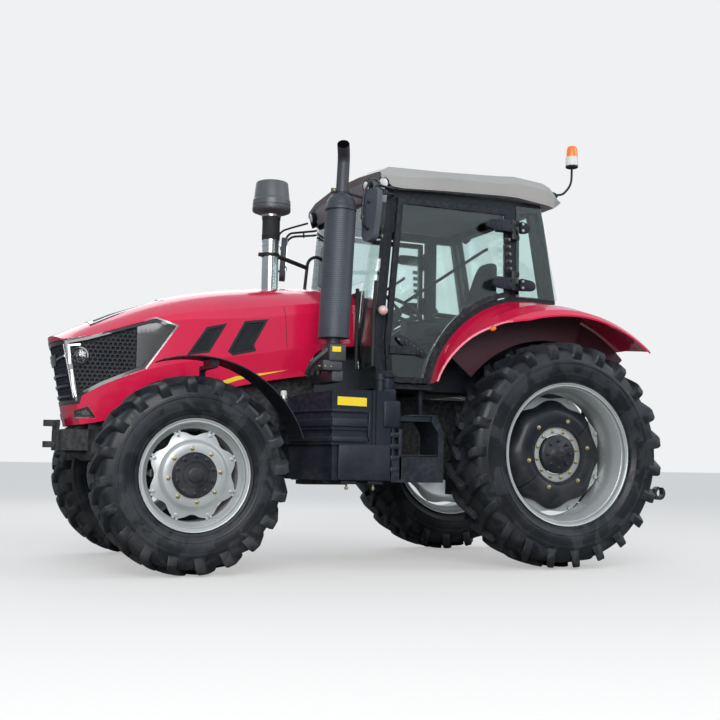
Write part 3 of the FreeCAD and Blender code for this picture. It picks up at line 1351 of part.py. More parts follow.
# Exhaust on the left and air intake on the right
exhaust_at = (rear_x + 1770, 720)
stack_bend = size.exhaust_top - 120
block_side = size.engine_half_width + size.seat_gap
piece("exhaust", fuse(
    cylinder("z", size.muffler_radius, 1700, 2600, exhaust_at),
    cylinder("z", size.muffler_radius + 7, 2340, 2385, exhaust_at),
    cone("z", size.muffler_radius, size.exhaust_pipe_radius + 8, 2600, 2690, exhaust_at),
    rod([(*exhaust_at, 2600), (*exhaust_at, stack_bend),
         (exhaust_at[0] + 60, exhaust_at[1] + 60, stack_bend + 105)], size.exhaust_pipe_radius, 90),
    box((exhaust_at[0] - 100, exhaust_at[0] + 100), (exhaust_at[1] - 200, exhaust_at[1] + 70),
        (1370, 1470)),
    cylinder("z", 60, 1450, 1720, exhaust_at),
    box((exhaust_at[0] - 90, exhaust_at[0] + 10), (block_side, exhaust_at[1] - 150), (1375, 1450)),
))
intake_at = (rear_x + 1880, -520)
piece("intake_tube", fuse(
    cylinder("z", size.intake_radius, 1400, 2840, intake_at),
    box((intake_at[0] - 60, intake_at[0] + 60), (intake_at[1], -block_side), (1300, 1400)),
    cylinder("z", size.intake_radius, 1300, 1410, intake_at),
))
cleaner = [
    (0, size.seat_gap), (size.intake_radius + 6, size.seat_gap), (size.intake_radius + 12, 50),
    (150, 90), (168, 130), (168, 160), (150, 175), (140, 290), (60, 310), (0, 310),
]
piece("precleaner", turned("xz", "V_Axis", cleaner, (*intake_at, 2840)))

# Mirrors on arms from the front pillars
mirror_at = (rear_x + 1570, 1000)
mirror = fuse(
    box((mirror_at[0] - 30, mirror_at[0] + 45), (mirror_at[1] - 95, mirror_at[1] + 95), (2390, 2785)),
    rod([(rear_x + 1320, side - 34 + size.seat_gap, 2850), (rear_x + 1320, side + 60, 2850),
         (mirror_at[0] + 5, mirror_at[1], 2850), (mirror_at[0] + 5, mirror_at[1], 2700)], 14, 40),
)
piece("mirrors", both_sides(mirror))

doc.recompute()
for item in doc.Objects:
    bad = [state for state in item.State if "Invalid" in state or "Error" in state]
    if bad:
        raise RuntimeError(f"{item.Label} ({item.Name}) failed: {bad}")
os.makedirs("parts", exist_ok=True)
for label, item in pieces.items():
    if item.Shape.isNull() or not item.Shape.isValid():
        raise RuntimeError(f"{label} has no valid shape")
for label, item in pieces.items():
    item.Shape.exportStep(f"parts/{label}.step")
    print(label, len(item.Shape.Solids), round(item.Shape.Volume / 1e6, 2))
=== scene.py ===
"""Farm tractor: finishes, tyres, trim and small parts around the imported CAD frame."""

import math

import bmesh
import bpy
from bpy.props import FloatProperty, FloatVectorProperty, IntProperty, PointerProperty
from mathutils import Matrix, Vector


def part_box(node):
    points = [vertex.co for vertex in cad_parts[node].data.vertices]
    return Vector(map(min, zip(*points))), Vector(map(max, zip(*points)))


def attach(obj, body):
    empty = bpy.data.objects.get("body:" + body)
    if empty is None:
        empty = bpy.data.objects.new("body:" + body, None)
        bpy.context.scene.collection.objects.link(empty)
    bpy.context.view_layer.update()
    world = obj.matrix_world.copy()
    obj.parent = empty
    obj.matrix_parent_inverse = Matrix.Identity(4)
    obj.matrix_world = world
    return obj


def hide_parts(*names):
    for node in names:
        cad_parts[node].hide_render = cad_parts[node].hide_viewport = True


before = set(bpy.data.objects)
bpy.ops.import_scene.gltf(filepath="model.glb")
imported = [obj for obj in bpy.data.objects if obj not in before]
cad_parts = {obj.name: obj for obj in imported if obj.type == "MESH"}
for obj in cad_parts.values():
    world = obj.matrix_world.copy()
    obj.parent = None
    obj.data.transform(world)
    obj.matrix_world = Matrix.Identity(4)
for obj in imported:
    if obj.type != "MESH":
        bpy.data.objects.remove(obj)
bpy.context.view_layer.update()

bl_info = {
    "name": "Farm Tractor",
    "version": (1, 0, 0),
    "blender": (4, 5, 0),
    "location": "View3D > Sidebar > Tractor",
    "description": "Dresses the farm tractor's CAD frame with tyres, trim and finishes",
    "category": "Object",
}

REAR_AXLE = Vector((-1.150, 0, 0.870))
FRONT_AXLE = Vector((1.730, 0, 0.676))
SIDES = (("left", 1), ("right", -1))


# Sizes and colours that a user would change

def colour(name, description, value):
    """A colour setting."""
    return FloatVectorProperty(
        name=name, description=description, default=value, subtype="COLOR", size=3, min=0, max=1)


def length(name, description, value):
    """A length setting in metres."""
    return FloatProperty(name=name, description=description, default=value, subtype="DISTANCE", unit="LENGTH")


class TractorColours(bpy.types.PropertyGroup):
    """Paints, plastics and metals."""
    red: colour("Red", "Body paint of the hood, fenders and doors", (0.66, 0.007, 0.058))
    black: colour("Black", "Chassis and cab paint", (0.006, 0.008, 0.013))
    plastic: colour("Plastic", "Moulded tank, mudguards and covers", (0.0065, 0.0095, 0.018))
    rubber: colour("Rubber", "Tyres, seals and hoses", (0.014, 0.017, 0.022))
    silver: colour("Silver", "Rim paint", (0.47, 0.49, 0.49))
    roof: colour("Roof", "Cab roof shell", (0.35, 0.345, 0.33))
    glass: colour("Glass", "Tint of the cab glass", (0.78, 0.91, 0.89))
    yellow: colour("Yellow", "Blank plates and the pin stripe", (0.86, 0.62, 0.02))
    amber: colour("Amber", "Beacon lens and side markers", (1.0, 0.20, 0.005))


class TractorSizes(bpy.types.PropertyGroup):
    """Sizes of the dressed pieces."""
    lug_height: length("Lug height", "Height of a rear lug above the carcass", 0.040)
    front_lugs: IntProperty(name="Front lugs", description="Lugs on each side of a front tyre", default=20, min=8)
    rear_lugs: IntProperty(name="Rear lugs", description="Lugs on each side of a rear tyre", default=23, min=8)


def settings():
    """The scene's colours and sizes."""
    return bpy.context.scene.tractor_colours, bpy.context.scene.tractor_sizes


# Shader node groups for effects that several finishes share

def node_group(name, inputs, outputs):
    """An empty shader group with its sockets."""
    group = bpy.data.node_groups.new(name, "ShaderNodeTree")
    for label, kind, default in inputs:
        socket = group.interface.new_socket(name=label, in_out="INPUT", socket_type=kind)
        if default is not None:
            socket.default_value = default
    for label, kind in outputs:
        group.interface.new_socket(name=label, in_out="OUTPUT", socket_type=kind)
    start, end = group.nodes.new("NodeGroupInput"), group.nodes.new("NodeGroupOutput")
    return group, start.outputs, end.inputs


def add(tree, kind, links=None, **values):
    """A node with its properties set and its inputs linked or given values."""
    node = tree.nodes.new(kind)
    for key, value in values.items():
        setattr(node, key, value)
    for key, value in (links or {}).items():
        socket = node.inputs[key]
        if isinstance(value, bpy.types.NodeSocket):
            tree.links.new(value, socket)
        else:
            socket.default_value = value
    return node


def maths(tree, operation, first, second=0.5, clamp=False):
    """The result of a sum on one or two values."""
    return add(tree, "ShaderNodeMath", {0: first, 1: second}, operation=operation, use_clamp=clamp).outputs[0]


def ramp(tree, value, low, high, start=0.0, end=1.0):
    """A value brought from one range into another and held there."""
    return add(tree, "ShaderNodeMapRange", {
        "Value": value, "From Min": low, "From Max": high, "To Min": start, "To Max": end}).outputs["Result"]


def grain_group():
    """Fine grain of moulded, cast or sprayed surfaces."""
    group, given, out = node_group(
        "Surface Grain", [("Scale", "NodeSocketFloat", 200.0), ("Roundness", "NodeSocketFloat", 0.5)],
        [("Height", "NodeSocketFloat"), ("Variation", "NodeSocketFloat")])
    place = add(group, "ShaderNodeTexCoord").outputs["Object"]
    fine = add(group, "ShaderNodeTexNoise", {"Vector": place, "Scale": given["Scale"], "Detail": 3.0})
    cells = add(group, "ShaderNodeTexVoronoi", {"Vector": place, "Scale": given["Scale"]})
    mixed = add(group, "ShaderNodeMix", {
        0: given["Roundness"], 2: fine.outputs["Fac"], 3: cells.outputs["Distance"]})
    broad = add(group, "ShaderNodeTexNoise", {"Vector": place, "Scale": 3.2, "Detail": 4.0})
    group.links.new(mixed.outputs[0], out["Height"])
    group.links.new(broad.outputs["Fac"], out["Variation"])
    return group


def wear_group():
    """Rubbed edges, broken up by noise."""
    group, given, out = node_group(
        "Edge Wear", [("Amount", "NodeSocketFloat", 0.3), ("Scale", "NodeSocketFloat", 30.0)],
        [("Mask", "NodeSocketFloat")])
    place = add(group, "ShaderNodeTexCoord").outputs["Object"]
    edge = add(group, "ShaderNodeNewGeometry").outputs["Pointiness"]
    noise = add(group, "ShaderNodeTexNoise", {"Vector": place, "Scale": given["Scale"], "Detail": 5.0})
    sharp = ramp(group, edge, 0.53, 0.62)
    broken = ramp(group, noise.outputs["Fac"], 0.42, 0.62)
    mask = maths(group, "MULTIPLY", maths(group, "MULTIPLY", sharp, broken), given["Amount"], True)
    group.links.new(mask, out["Mask"])
    return group


def dust_group():
    """Dry dust in patches that lies thicker near the ground."""
    group, given, out = node_group(
        "Road Dust", [("Amount", "NodeSocketFloat", 0.2), ("Height", "NodeSocketFloat", 1.2)],
        [("Mask", "NodeSocketFloat")])
    place = add(group, "ShaderNodeTexCoord").outputs["Object"]
    level = add(group, "ShaderNodeSeparateXYZ", {0: place}).outputs["Z"]
    low = maths(group, "SUBTRACT", 1.0, maths(group, "DIVIDE", level, given["Height"]), True)
    noise = add(group, "ShaderNodeTexNoise", {"Vector": place, "Scale": 6.0, "Detail": 8.0, "Roughness": 0.65})
    patchy = ramp(group, noise.outputs["Fac"], 0.35, 0.75)
    mask = maths(group, "MULTIPLY", maths(group, "MULTIPLY", low, patchy), given["Amount"], True)
    group.links.new(mask, out["Mask"])
    return group


def wet_group():
    """Patches still wet from washing, with sharp shores."""
    group, given, out = node_group(
        "Wet Patches", [("Amount", "NodeSocketFloat", 1.0), ("Scale", "NodeSocketFloat", 5.5)],
        [("Mask", "NodeSocketFloat")])
    place = add(group, "ShaderNodeTexCoord").outputs["Object"]
    noise = add(group, "ShaderNodeTexNoise", {
        "Vector": place, "Scale": given["Scale"], "Detail": 7.0, "Roughness": 0.6, "Distortion": 0.6})
    mask = maths(group, "MULTIPLY", ramp(group, noise.outputs["Fac"], 0.475, 0.51), given["Amount"], True)
    group.links.new(mask, out["Mask"])
    return group


def brushed_group():
    """Fine drawn lines of turned or brushed metal."""
    group, given, out = node_group(
        "Drawn Lines", [("Scale", "NodeSocketFloat", 300.0)], [("Height", "NodeSocketFloat")])
    place = add(group, "ShaderNodeTexCoord").outputs["Object"]
    stretched = add(group, "ShaderNodeMapping", {0: place, 3: (0.03, 1.0, 0.03)})
    noise = add(group, "ShaderNodeTexNoise", {
        "Vector": stretched.outputs[0], "Scale": given["Scale"], "Detail": 2.0})
    group.links.new(noise.outputs["Fac"], out["Height"])
    return group


# Finishes: colour, roughness, metallic, coat; then grain scale and depth, wear, dust

def mixed_colour(tree, amount, first, second):
    """Two colours mixed by a mask."""
    return add(tree, "ShaderNodeMix", {0: amount, 6: first, 7: second}, data_type="RGBA").outputs[2]


def rgba(value, shade=1.0):
    """A colour with full alpha, darkened or lightened."""
    return (*[min(1.0, part * shade) for part in value], 1.0)


def finish(name, base, rough, metallic=0.0, coat=0.0, grain=(220, 0.02), wear=0.0, worn=(0.4, 0.4, 0.4),
           dust=0.0, dust_height=1.3, brushed=0.0, uneven=0.12, wet=0.0, shine=0.5):
    """A painted, moulded, rubber or metal surface."""
    groups = bpy.data.node_groups
    paint = bpy.data.materials.new(name)
    paint.use_nodes = True
    tree = paint.node_tree
    shader = tree.nodes["Principled BSDF"]
    surface = add(tree, "ShaderNodeGroup", node_tree=groups["Surface Grain"])
    surface.inputs["Scale"].default_value = grain[0]
    tone = ramp(tree, surface.outputs["Variation"], 0.3, 0.7)
    shown = mixed_colour(tree, tone, rgba(base, 1 - uneven), rgba(base, 1 + uneven))
    gloss = ramp(tree, surface.outputs["Variation"], 0.3, 0.7, rough * 0.85, min(1.0, rough * 1.15))
    if wear:
        edges = add(tree, "ShaderNodeGroup", node_tree=groups["Edge Wear"])
        edges.inputs["Amount"].default_value = wear
        shown = mixed_colour(tree, edges.outputs["Mask"], shown, rgba(worn))
    if dust:
        film = add(tree, "ShaderNodeGroup", node_tree=groups["Road Dust"])
        film.inputs["Amount"].default_value = dust
        film.inputs["Height"].default_value = dust_height
        shown = mixed_colour(tree, film.outputs["Mask"], shown, (0.17, 0.16, 0.145, 1))
        gloss = maths(tree, "ADD", gloss, maths(tree, "MULTIPLY", film.outputs["Mask"], 0.5), True)
    if wet:
        patches = add(tree, "ShaderNodeGroup", node_tree=groups["Wet Patches"])
        patches.inputs["Amount"].default_value = wet
        shown = mixed_colour(tree, patches.outputs["Mask"], shown, rgba(base, 0.35))
        gloss = maths(tree, "SUBTRACT", gloss, maths(tree, "MULTIPLY", patches.outputs["Mask"], 0.28), True)
    height = surface.outputs["Height"]
    if brushed:
        lines = add(tree, "ShaderNodeGroup", node_tree=groups["Drawn Lines"])
        height = maths(tree, "ADD", height, maths(tree, "MULTIPLY", lines.outputs["Height"], brushed))
    bump = add(tree, "ShaderNodeBump", {"Height": height, "Strength": 0.35, "Distance": grain[1] * 0.01})
    for socket, value in (("Base Color", shown), ("Roughness", gloss), ("Normal", bump.outputs["Normal"])):
        tree.links.new(value, shader.inputs[socket])
    shader.inputs["Metallic"].default_value = metallic
    shader.inputs["Coat Weight"].default_value = coat
    shader.inputs["Coat Roughness"].default_value = 0.06
    shader.inputs["Specular IOR Level"].default_value = shine
    return paint


def clear_finish(name, tint, rough=0.02, transmission=1.0, glow=0.0):
    """Glass and clear lenses."""
    glass = bpy.data.materials.new(name)
    glass.use_nodes = True
    tree = glass.node_tree
    shader = tree.nodes["Principled BSDF"]
    surface = add(tree, "ShaderNodeGroup", node_tree=bpy.data.node_groups["Surface Grain"])
    surface.inputs["Scale"].default_value = 4.0
    film = ramp(tree, surface.outputs["Variation"], 0.45, 0.75)
    shown = mixed_colour(tree, film, rgba(tint), rgba(tint, 0.93))
    tree.links.new(shown, shader.inputs["Base Color"])
    gloss = ramp(tree, surface.outputs["Variation"], 0.3, 0.7, rough, rough + 0.03)
    tree.links.new(gloss, shader.inputs["Roughness"])
    shader.inputs["Transmission Weight"].default_value = transmission
    shader.inputs["IOR"].default_value = 1.6
    return glass


def build_finishes():
    """Every finish of the tractor, by name."""
    paint, _ = settings()
    for make in (grain_group, wear_group, dust_group, wet_group, brushed_group):
        make()
    finish("Red Paint", paint.red, 0.17, coat=0.35, grain=(420, 0.012), dust=0.25, uneven=0.05)
    finish("Black Paint", paint.black, 0.42, coat=0.15, grain=(260, 0.03), wear=0.25, worn=(0.10, 0.10, 0.10),
           dust=0.45, shine=0.3)
    finish("Cast Grey", (0.014, 0.016, 0.020), 0.55, grain=(130, 0.09), wear=0.3, worn=(0.14, 0.13, 0.12),
           dust=0.5, shine=0.25)
    finish("Steel", (0.52, 0.51, 0.49), 0.30, metallic=1.0, grain=(300, 0.02), brushed=0.6, dust=0.35)
    finish("Rim Silver", paint.silver, 0.34, metallic=0.35, coat=0.25, grain=(380, 0.02), wear=0.2,
           worn=(0.35, 0.34, 0.33), dust=0.35, uneven=0.06)
    finish("Tyre Rubber", paint.rubber, 0.50, grain=(160, 0.10), wear=0.5, worn=(0.045, 0.047, 0.050), dust=0.22,
           dust_height=2.4, uneven=0.25, wet=0.65, shine=0.3)
    finish("Moulded Plastic", paint.plastic, 0.46, grain=(520, 0.05), wear=0.15, worn=(0.11, 0.11, 0.11),
           dust=0.3, shine=0.3)
    finish("Roof Plastic", paint.roof, 0.42, grain=(460, 0.03), dust=0.0, uneven=0.04)
    finish("Gloss Plastic", (0.010, 0.010, 0.011), 0.16, coat=0.6, grain=(300, 0.01), dust=0.15, uneven=0.1)
    finish("Rubber Seal", (0.010, 0.010, 0.010), 0.70, grain=(200, 0.06), uneven=0.2)
    finish("Exhaust Black", (0.046, 0.050, 0.058), 0.50, metallic=0.3, grain=(200, 0.04), wear=0.3,
           worn=(0.16, 0.15, 0.14))
    finish("Headliner", (0.72, 0.76, 0.78), 0.85, grain=(900, 0.1), uneven=0.1)
    # painted shade: the body red darkened to maroon for the shade under the fender
    finish("Wheel Well Shaded Red", (0.034, 0.002, 0.008), 0.5, grain=(300, 0.02), dust=0.5)
    finish("Shield Grey", (0.062, 0.072, 0.090), 0.50, metallic=0.2, grain=(200, 0.04), uneven=0.2)
    finish("Pale Lens", (0.72, 0.45, 0.42), 0.18, coat=0.6, grain=(60, 0.02), uneven=0.15)
    # partly soot, partly painted shade: near black with no shine, for the pipe's dark mouth and the gap behind the
    # exhaust shield
    finish("Soot and Shade Black", (0.003, 0.003, 0.003), 0.9, grain=(200, 0.02), shine=0.0)
    finish("Lamp Face", (0.78, 0.79, 0.80), 0.12, coat=0.8, grain=(60, 0.02), uneven=0.04)
    finish("Chrome", (0.54, 0.55, 0.56), 0.16, metallic=1.0, grain=(60, 0.01), uneven=0.04)
    finish("Precleaner Grey", (0.105, 0.108, 0.115), 0.42, metallic=0.3, grain=(320, 0.03))
    finish("Cushion Fabric", (0.030, 0.030, 0.034), 0.85, grain=(900, 0.2), uneven=0.2)
    finish("Yellow Paint", paint.yellow, 0.45, grain=(300, 0.01), uneven=0.05)
    finish("Plated Bolt", (0.42, 0.36, 0.20), 0.40, metallic=0.7, grain=(300, 0.03), dust=0.3)
    finish("Cab Trim", (0.055, 0.056, 0.060), 0.60, grain=(700, 0.08), uneven=0.1)
    finish("Amber Lens", paint.amber, 0.22, coat=0.5, grain=(120, 0.02), uneven=0.08)
    finish("White Plastic", (0.72, 0.71, 0.69), 0.40, grain=(300, 0.02), uneven=0.04)
    finish("Mirror Glass", (0.80, 0.83, 0.86), 0.03, metallic=1.0, grain=(20, 0.001), uneven=0.02)
    clear_finish("Cab Glass", paint.glass)
    clear_finish("Lamp Lens", (0.95, 0.96, 0.97), 0.05)


# Mesh tools

def finished(name, mesh_data, material, body, replaces=(), sharp=35.0):
    """A piece from a bmesh: shaded, given its finish, and set to ride on a body."""
    for face in mesh_data.faces:
        face.smooth = True
    limit = math.radians(sharp)
    for edge in mesh_data.edges:
        if len(edge.link_faces) == 2 and edge.calc_face_angle(0) > limit:
            edge.smooth = False
    mesh = bpy.data.meshes.new(name)
    mesh_data.to_mesh(mesh)
    mesh_data.free()
    item = bpy.data.objects.new(name, mesh)
    bpy.context.scene.collection.objects.link(item)
    mesh.materials.append(bpy.data.materials[material])
    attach(item, body)
    if replaces:
        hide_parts(*replaces)
    return item


def rings_to_faces(mesh_data, rings, closed_rings=True, closed_run=False):
    """Faces between neighbouring rings of vertices."""
    count = len(rings[0])
    turns = len(rings) if closed_run else len(rings) - 1
    for index in range(turns):
        here, there = rings[index], rings[(index + 1) % len(rings)]
        for step in range(count if closed_rings else count - 1):
            after = (step + 1) % count
            mesh_data.faces.new((here[step], here[after], there[after], there[step]))


def rounded_run(points, radius, steps=4):
    """An outline of (a, b) pairs with its corners rounded."""
    run = []
    count = len(points)
    for index in range(count):
        corner = Vector(points[index])
        before, after = Vector(points[index - 1]), Vector(points[(index + 1) % count])
        reach = min(radius, (before - corner).length * 0.45, (after - corner).length * 0.45)
        first = corner + (before - corner).normalized() * reach
        last = corner + (after - corner).normalized() * reach
        for step in range(steps + 1):
            share = step / steps
            run.append(tuple(first.lerp(corner, share).lerp(corner.lerp(last, share), share)))
    return run


# Tyres

REAR_CARCASS = (
    # across from the tyre's middle, drop of the radius below the lug tips
    (0.000, 0.042), (0.080, 0.044), (0.140, 0.051), (0.182, 0.064), (0.205, 0.084), (0.2140, 0.112),
    (0.2210, 0.140), (0.2265, 0.156), (0.2300, 0.158), (0.2315, 0.166), (0.2315, 0.176), (0.2280, 0.179),
    (0.2310, 0.205), (0.2300, 0.232), (0.2250, 0.252), (0.2280, 0.255), (0.2270, 0.266), (0.2170, 0.276),
    (0.2080, 0.290), (0.1980, 0.304), (0.1930, 0.306), (0.1900, 0.318), (0.1860, 0.332), (0.1760, 0.334),
)
REAR_LUG = (
    # share of half width, shift round the tyre, drop of the top, drop of the root, half width of the top
    (-0.05, 0.088, 0.000, 0.046, 0.022), (0.12, 0.064, 0.000, 0.046, 0.024),
    (0.36, 0.018, 0.003, 0.048, 0.026), (0.60, -0.020, 0.007, 0.056, 0.029),
    (0.80, -0.050, 0.013, 0.072, 0.033), (0.93, -0.070, 0.024, 0.095, 0.036),
    (0.998, -0.080, 0.048, 0.125, 0.037), (1.000, -0.086, 0.080, 0.148, 0.036),
    (0.985, -0.090, 0.116, 0.158, 0.031),
)
REAR_LEAD, FRONT_LEAD = math.radians(172.7), math.radians(172.0)
FRONT_CARCASS = tuple((across * 0.812, drop * 0.885) for across, drop in REAR_CARCASS)
FRONT_LUG = tuple((share, shift * 0.84, top * 0.86, root * 0.86, half * 0.94)
                  for share, shift, top, root, half in REAR_LUG)


def carcass_profile(table, radius):
    """The carcass's closed outline from its half table."""
    right = [(across, radius - drop) for across, drop in table]
    left = [(-across, height) for across, height in reversed(right[1:])]
    inner = [(-right[-1][0], right[-1][1] + 0.004), (right[-1][0], right[-1][1] + 0.004)]
    return left + right + inner[:0]


def add_lug(mesh_data, table, half, radius, middle, centre, turn, side, way):
    """One curved bar of tread from the tyre's middle to its side wall."""
    rings = []
    for share, shift, top, root, half_top in table:
        ring = []
        spread = half_top + 0.010
        for across, lift in (
                (-spread, 0.0), (-half_top - 0.003, 0.25), (-half_top, 0.86), (-half_top + 0.006, 1.0),
                (half_top - 0.006, 1.0), (half_top, 0.86), (half_top + 0.003, 0.25), (spread, 0.0)):
            height = radius - root + (root - top) * lift
            if share > 0.9:
                sideways = half * (share - (1 - lift) * 0.055)
            else:
                sideways = half * share
            angle = turn + (shift + across) / radius
            ring.append(mesh_data.verts.new((
                centre.x + height * math.sin(angle), side * (middle + way * sideways),
                centre.z + height * math.cos(angle))))
        rings.append(ring)
    rings_to_faces(mesh_data, rings, False)
    mesh_data.faces.new(rings[0])
    mesh_data.faces.new(list(reversed(rings[-1])))


def build_tyre(name, node, centre, radius, carcass, lug, lugs, lead, side_name, side):
    """A tyre with its carcass and both rows of lugs."""
    low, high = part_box(node)
    half = (high.y - low.y) / 2
    middle = abs(low.y + high.y) / 2
    mesh_data = bmesh.new()
    profile = [(middle + across, height) for across, height in carcass_profile(carcass, radius)]
    turned_shape(mesh_data, profile, centre, 144, side)
    for way in (1, -1):
        for index in range(lugs):
            turn = lead + 2 * math.pi * (index + (0.5 if way < 0 else 0)) / lugs
            add_lug(mesh_data, lug, half, radius, middle, centre, turn, side, way)
    bmesh.ops.recalc_face_normals(mesh_data, faces=mesh_data.faces)
    body = f"wheel_{name}_{side_name}"
    return finished(f"tread_{name}_{side_name}", mesh_data, "Tyre Rubber", body, (node,), 40)


class TRACTOR_OT_tyres(bpy.types.Operator):
    """Make the four tyres with their curved lugs"""
    bl_idname = "tractor.tyres"
    bl_label = "Tyres"

    def execute(self, context):
        _, sizes = settings()
        for side_name, side in SIDES:
            build_tyre("rear", f"tyre_rear_{side_name}", REAR_AXLE, 0.870, REAR_CARCASS, REAR_LUG,
                       sizes.rear_lugs, REAR_LEAD, side_name, side)
            build_tyre("front", f"tyre_front_{side_name}", FRONT_AXLE, 0.676, FRONT_CARCASS, FRONT_LUG,
                       sizes.front_lugs, FRONT_LEAD, side_name, side)
        return {"FINISHED"}


# Wheels

BARREL_HALF = (
    # depth inside the flange's face, drop below the flange's edge
    (0.000, 0.000), (0.0005, 0.004), (0.004, 0.009), (0.011, 0.014), (0.017, 0.0175), (0.021, 0.0205),
    (0.0235, 0.0245), (0.028, 0.026), (0.034, 0.0285), (0.039, 0.0325), (0.0415, 0.036), (0.048, 0.038),
)
HUB_STEPS = 64


def wheel_point(centre, side, across, radius, angle):
    """A point of a wheel, from how far it is across, out and round."""
    return Vector((centre.x + radius * math.sin(angle), side * across, centre.z + radius * math.cos(angle)))


def turned_shape(mesh_data, profile, centre, steps, side=1, reach=None):
    """A closed (across, radius) outline turned about the axle; reach may change a radius with the angle."""
    rings = []
    for step in range(steps):
        angle = 2 * math.pi * step / steps
        rings.append([mesh_data.verts.new(wheel_point(
            centre, side, across, reach(radius, angle) if reach else radius, angle))
            for across, radius in profile])
    rings_to_faces(mesh_data, rings, True, True)


def barrel_profile(middle, half, flange, seat_drop, well, wall=0.007):
    """The rim's closed outline: both flanges, their grooves, and the well between."""
    outer = [(half - depth, flange - drop) for depth, drop in BARREL_HALF]
    seen = outer + [(half * 0.55, well + 0.006), (half * 0.30, well), (-half * 0.30, well), (-half * 0.55, well + 0.006)]
    seen += [(-across, radius) for across, radius in reversed(outer)]
    seat = flange - seat_drop + 0.0
    back = [(-half + 0.0085, flange), (-half + 0.0095, seat), (-half * 0.72, seat - 0.003),
            (-half * 0.50, well + 0.006 + wall), (half * 0.50, well + 0.006 + wall), (half * 0.72, seat - 0.003),
            (half - 0.0095, seat), (half - 0.0085, flange)]
    return [(middle + across, radius) for across, radius in seen + back]


def add_hexagon(mesh_data, base, way, radius, height, turn=0.0, corners=6, taper=0.86):
    """A hexagonal head or a round stud that stands on a base point along a direction."""
    way = way.normalized()
    first = way.orthogonal().normalized()
    second = way.cross(first)
    rings = []
    for rise, share in ((0.0, 1.0), (height * 0.82, 1.0), (height, taper)):
        rings.append([mesh_data.verts.new(
            base + way * rise + (first * math.cos(turn + 2 * math.pi * k / corners)
                                 + second * math.sin(turn + 2 * math.pi * k / corners)) * radius * share)
            for k in range(corners)])
    rings_to_faces(mesh_data, rings)
    mesh_data.faces.new(rings[-1])
    mesh_data.faces.new(list(reversed(rings[0])))


def add_nut(mesh_data, base, way, radius):
    """A washer, a nut and the end of its stud."""
    way = way.normalized()
    add_hexagon(mesh_data, base, way, radius * 1.35, radius * 0.22, corners=20, taper=0.94)
    add_hexagon(mesh_data, base + way * radius * 0.2, way, radius, radius * 0.95)
    add_hexagon(mesh_data, base + way * radius * 1.1, way, radius * 0.55, radius * 0.5, corners=12)


def nut_ring(mesh_data, centre, side, across, radius, count, nut, turn=0.0):
    """Nuts evenly round a wheel, facing outwards."""
    for index in range(count):
        base = wheel_point(centre, side, across, radius, turn + 2 * math.pi * index / count)
        add_nut(mesh_data, base, Vector((0, side, 0)), nut)


def lobed(inner, outer, shallow, sharpness=1.5, lobes=8, turn=0.0):
    """A rule that draws radii beyond inner towards it between the lobes."""
    def reach(radius, angle):
        if radius <= inner:
            return radius
        dip = (0.5 + 0.5 * math.cos(lobes * (angle - turn))) ** sharpness
        return radius - (outer - shallow) * dip * (radius - inner) / (outer - inner)
    return reach


def doubled(front, wall):
    """A closed outline from a front line and its copy a wall's thickness behind."""
    return front + [(across - wall, radius) for across, radius in reversed(front)]


REAR_DISC = ((0.020, 0.154), (0.0245, 0.158), (0.0248, 0.222), (0.018, 0.238), (-0.040, 0.330),
             (-0.064, 0.378), (-0.070, 0.400), (-0.070, 0.466))
REAR_WEIGHT = ((0.0252, 0.213), (0.052, 0.213), (0.058, 0.217), (0.059, 0.232), (0.0545, 0.236), (0.0545, 0.240),
               (0.0570, 0.244), (0.0555, 0.300), (0.0530, 0.322), (0.0400, 0.352), (0.0060, 0.394),
               (-0.0260, 0.420), (-0.0420, 0.424), (-0.0660, 0.422), (-0.0680, 0.414), (-0.0300, 0.345))
REAR_HUB = ((-0.125, 0.10), (0.0250, 0.1495), (0.0520, 0.1495), (0.0560, 0.1460), (0.0570, 0.1300),
            (0.0600, 0.1260), (0.0600, 0.0700), (0.0640, 0.0660), (0.0640, 0.0560), (0.0700, 0.0520),
            (0.0735, 0.0480), (0.0735, 0.0100), (0.0735, 0.0005), (-0.125, 0.0005))
FRONT_DISC = ((0.1395, 0.1540), (0.1400, 0.1560), (0.1400, 0.2080), (0.1375, 0.2140), (0.1200, 0.2300),
              (0.1120, 0.2360), (0.1080, 0.2440), (0.1040, 0.3030))
FRONT_HUB = ((0.1280, 0.1510), (0.1600, 0.1510), (0.1635, 0.1490), (0.1700, 0.1400), (0.1745, 0.1370),
             (0.1750, 0.0900), (0.1730, 0.0880), (0.1730, 0.0840), (0.1760, 0.0820), (0.1770, 0.0540),
             (0.1815, 0.0500), (0.1830, 0.0440), (0.1830, 0.0005), (0.1280, 0.0005))


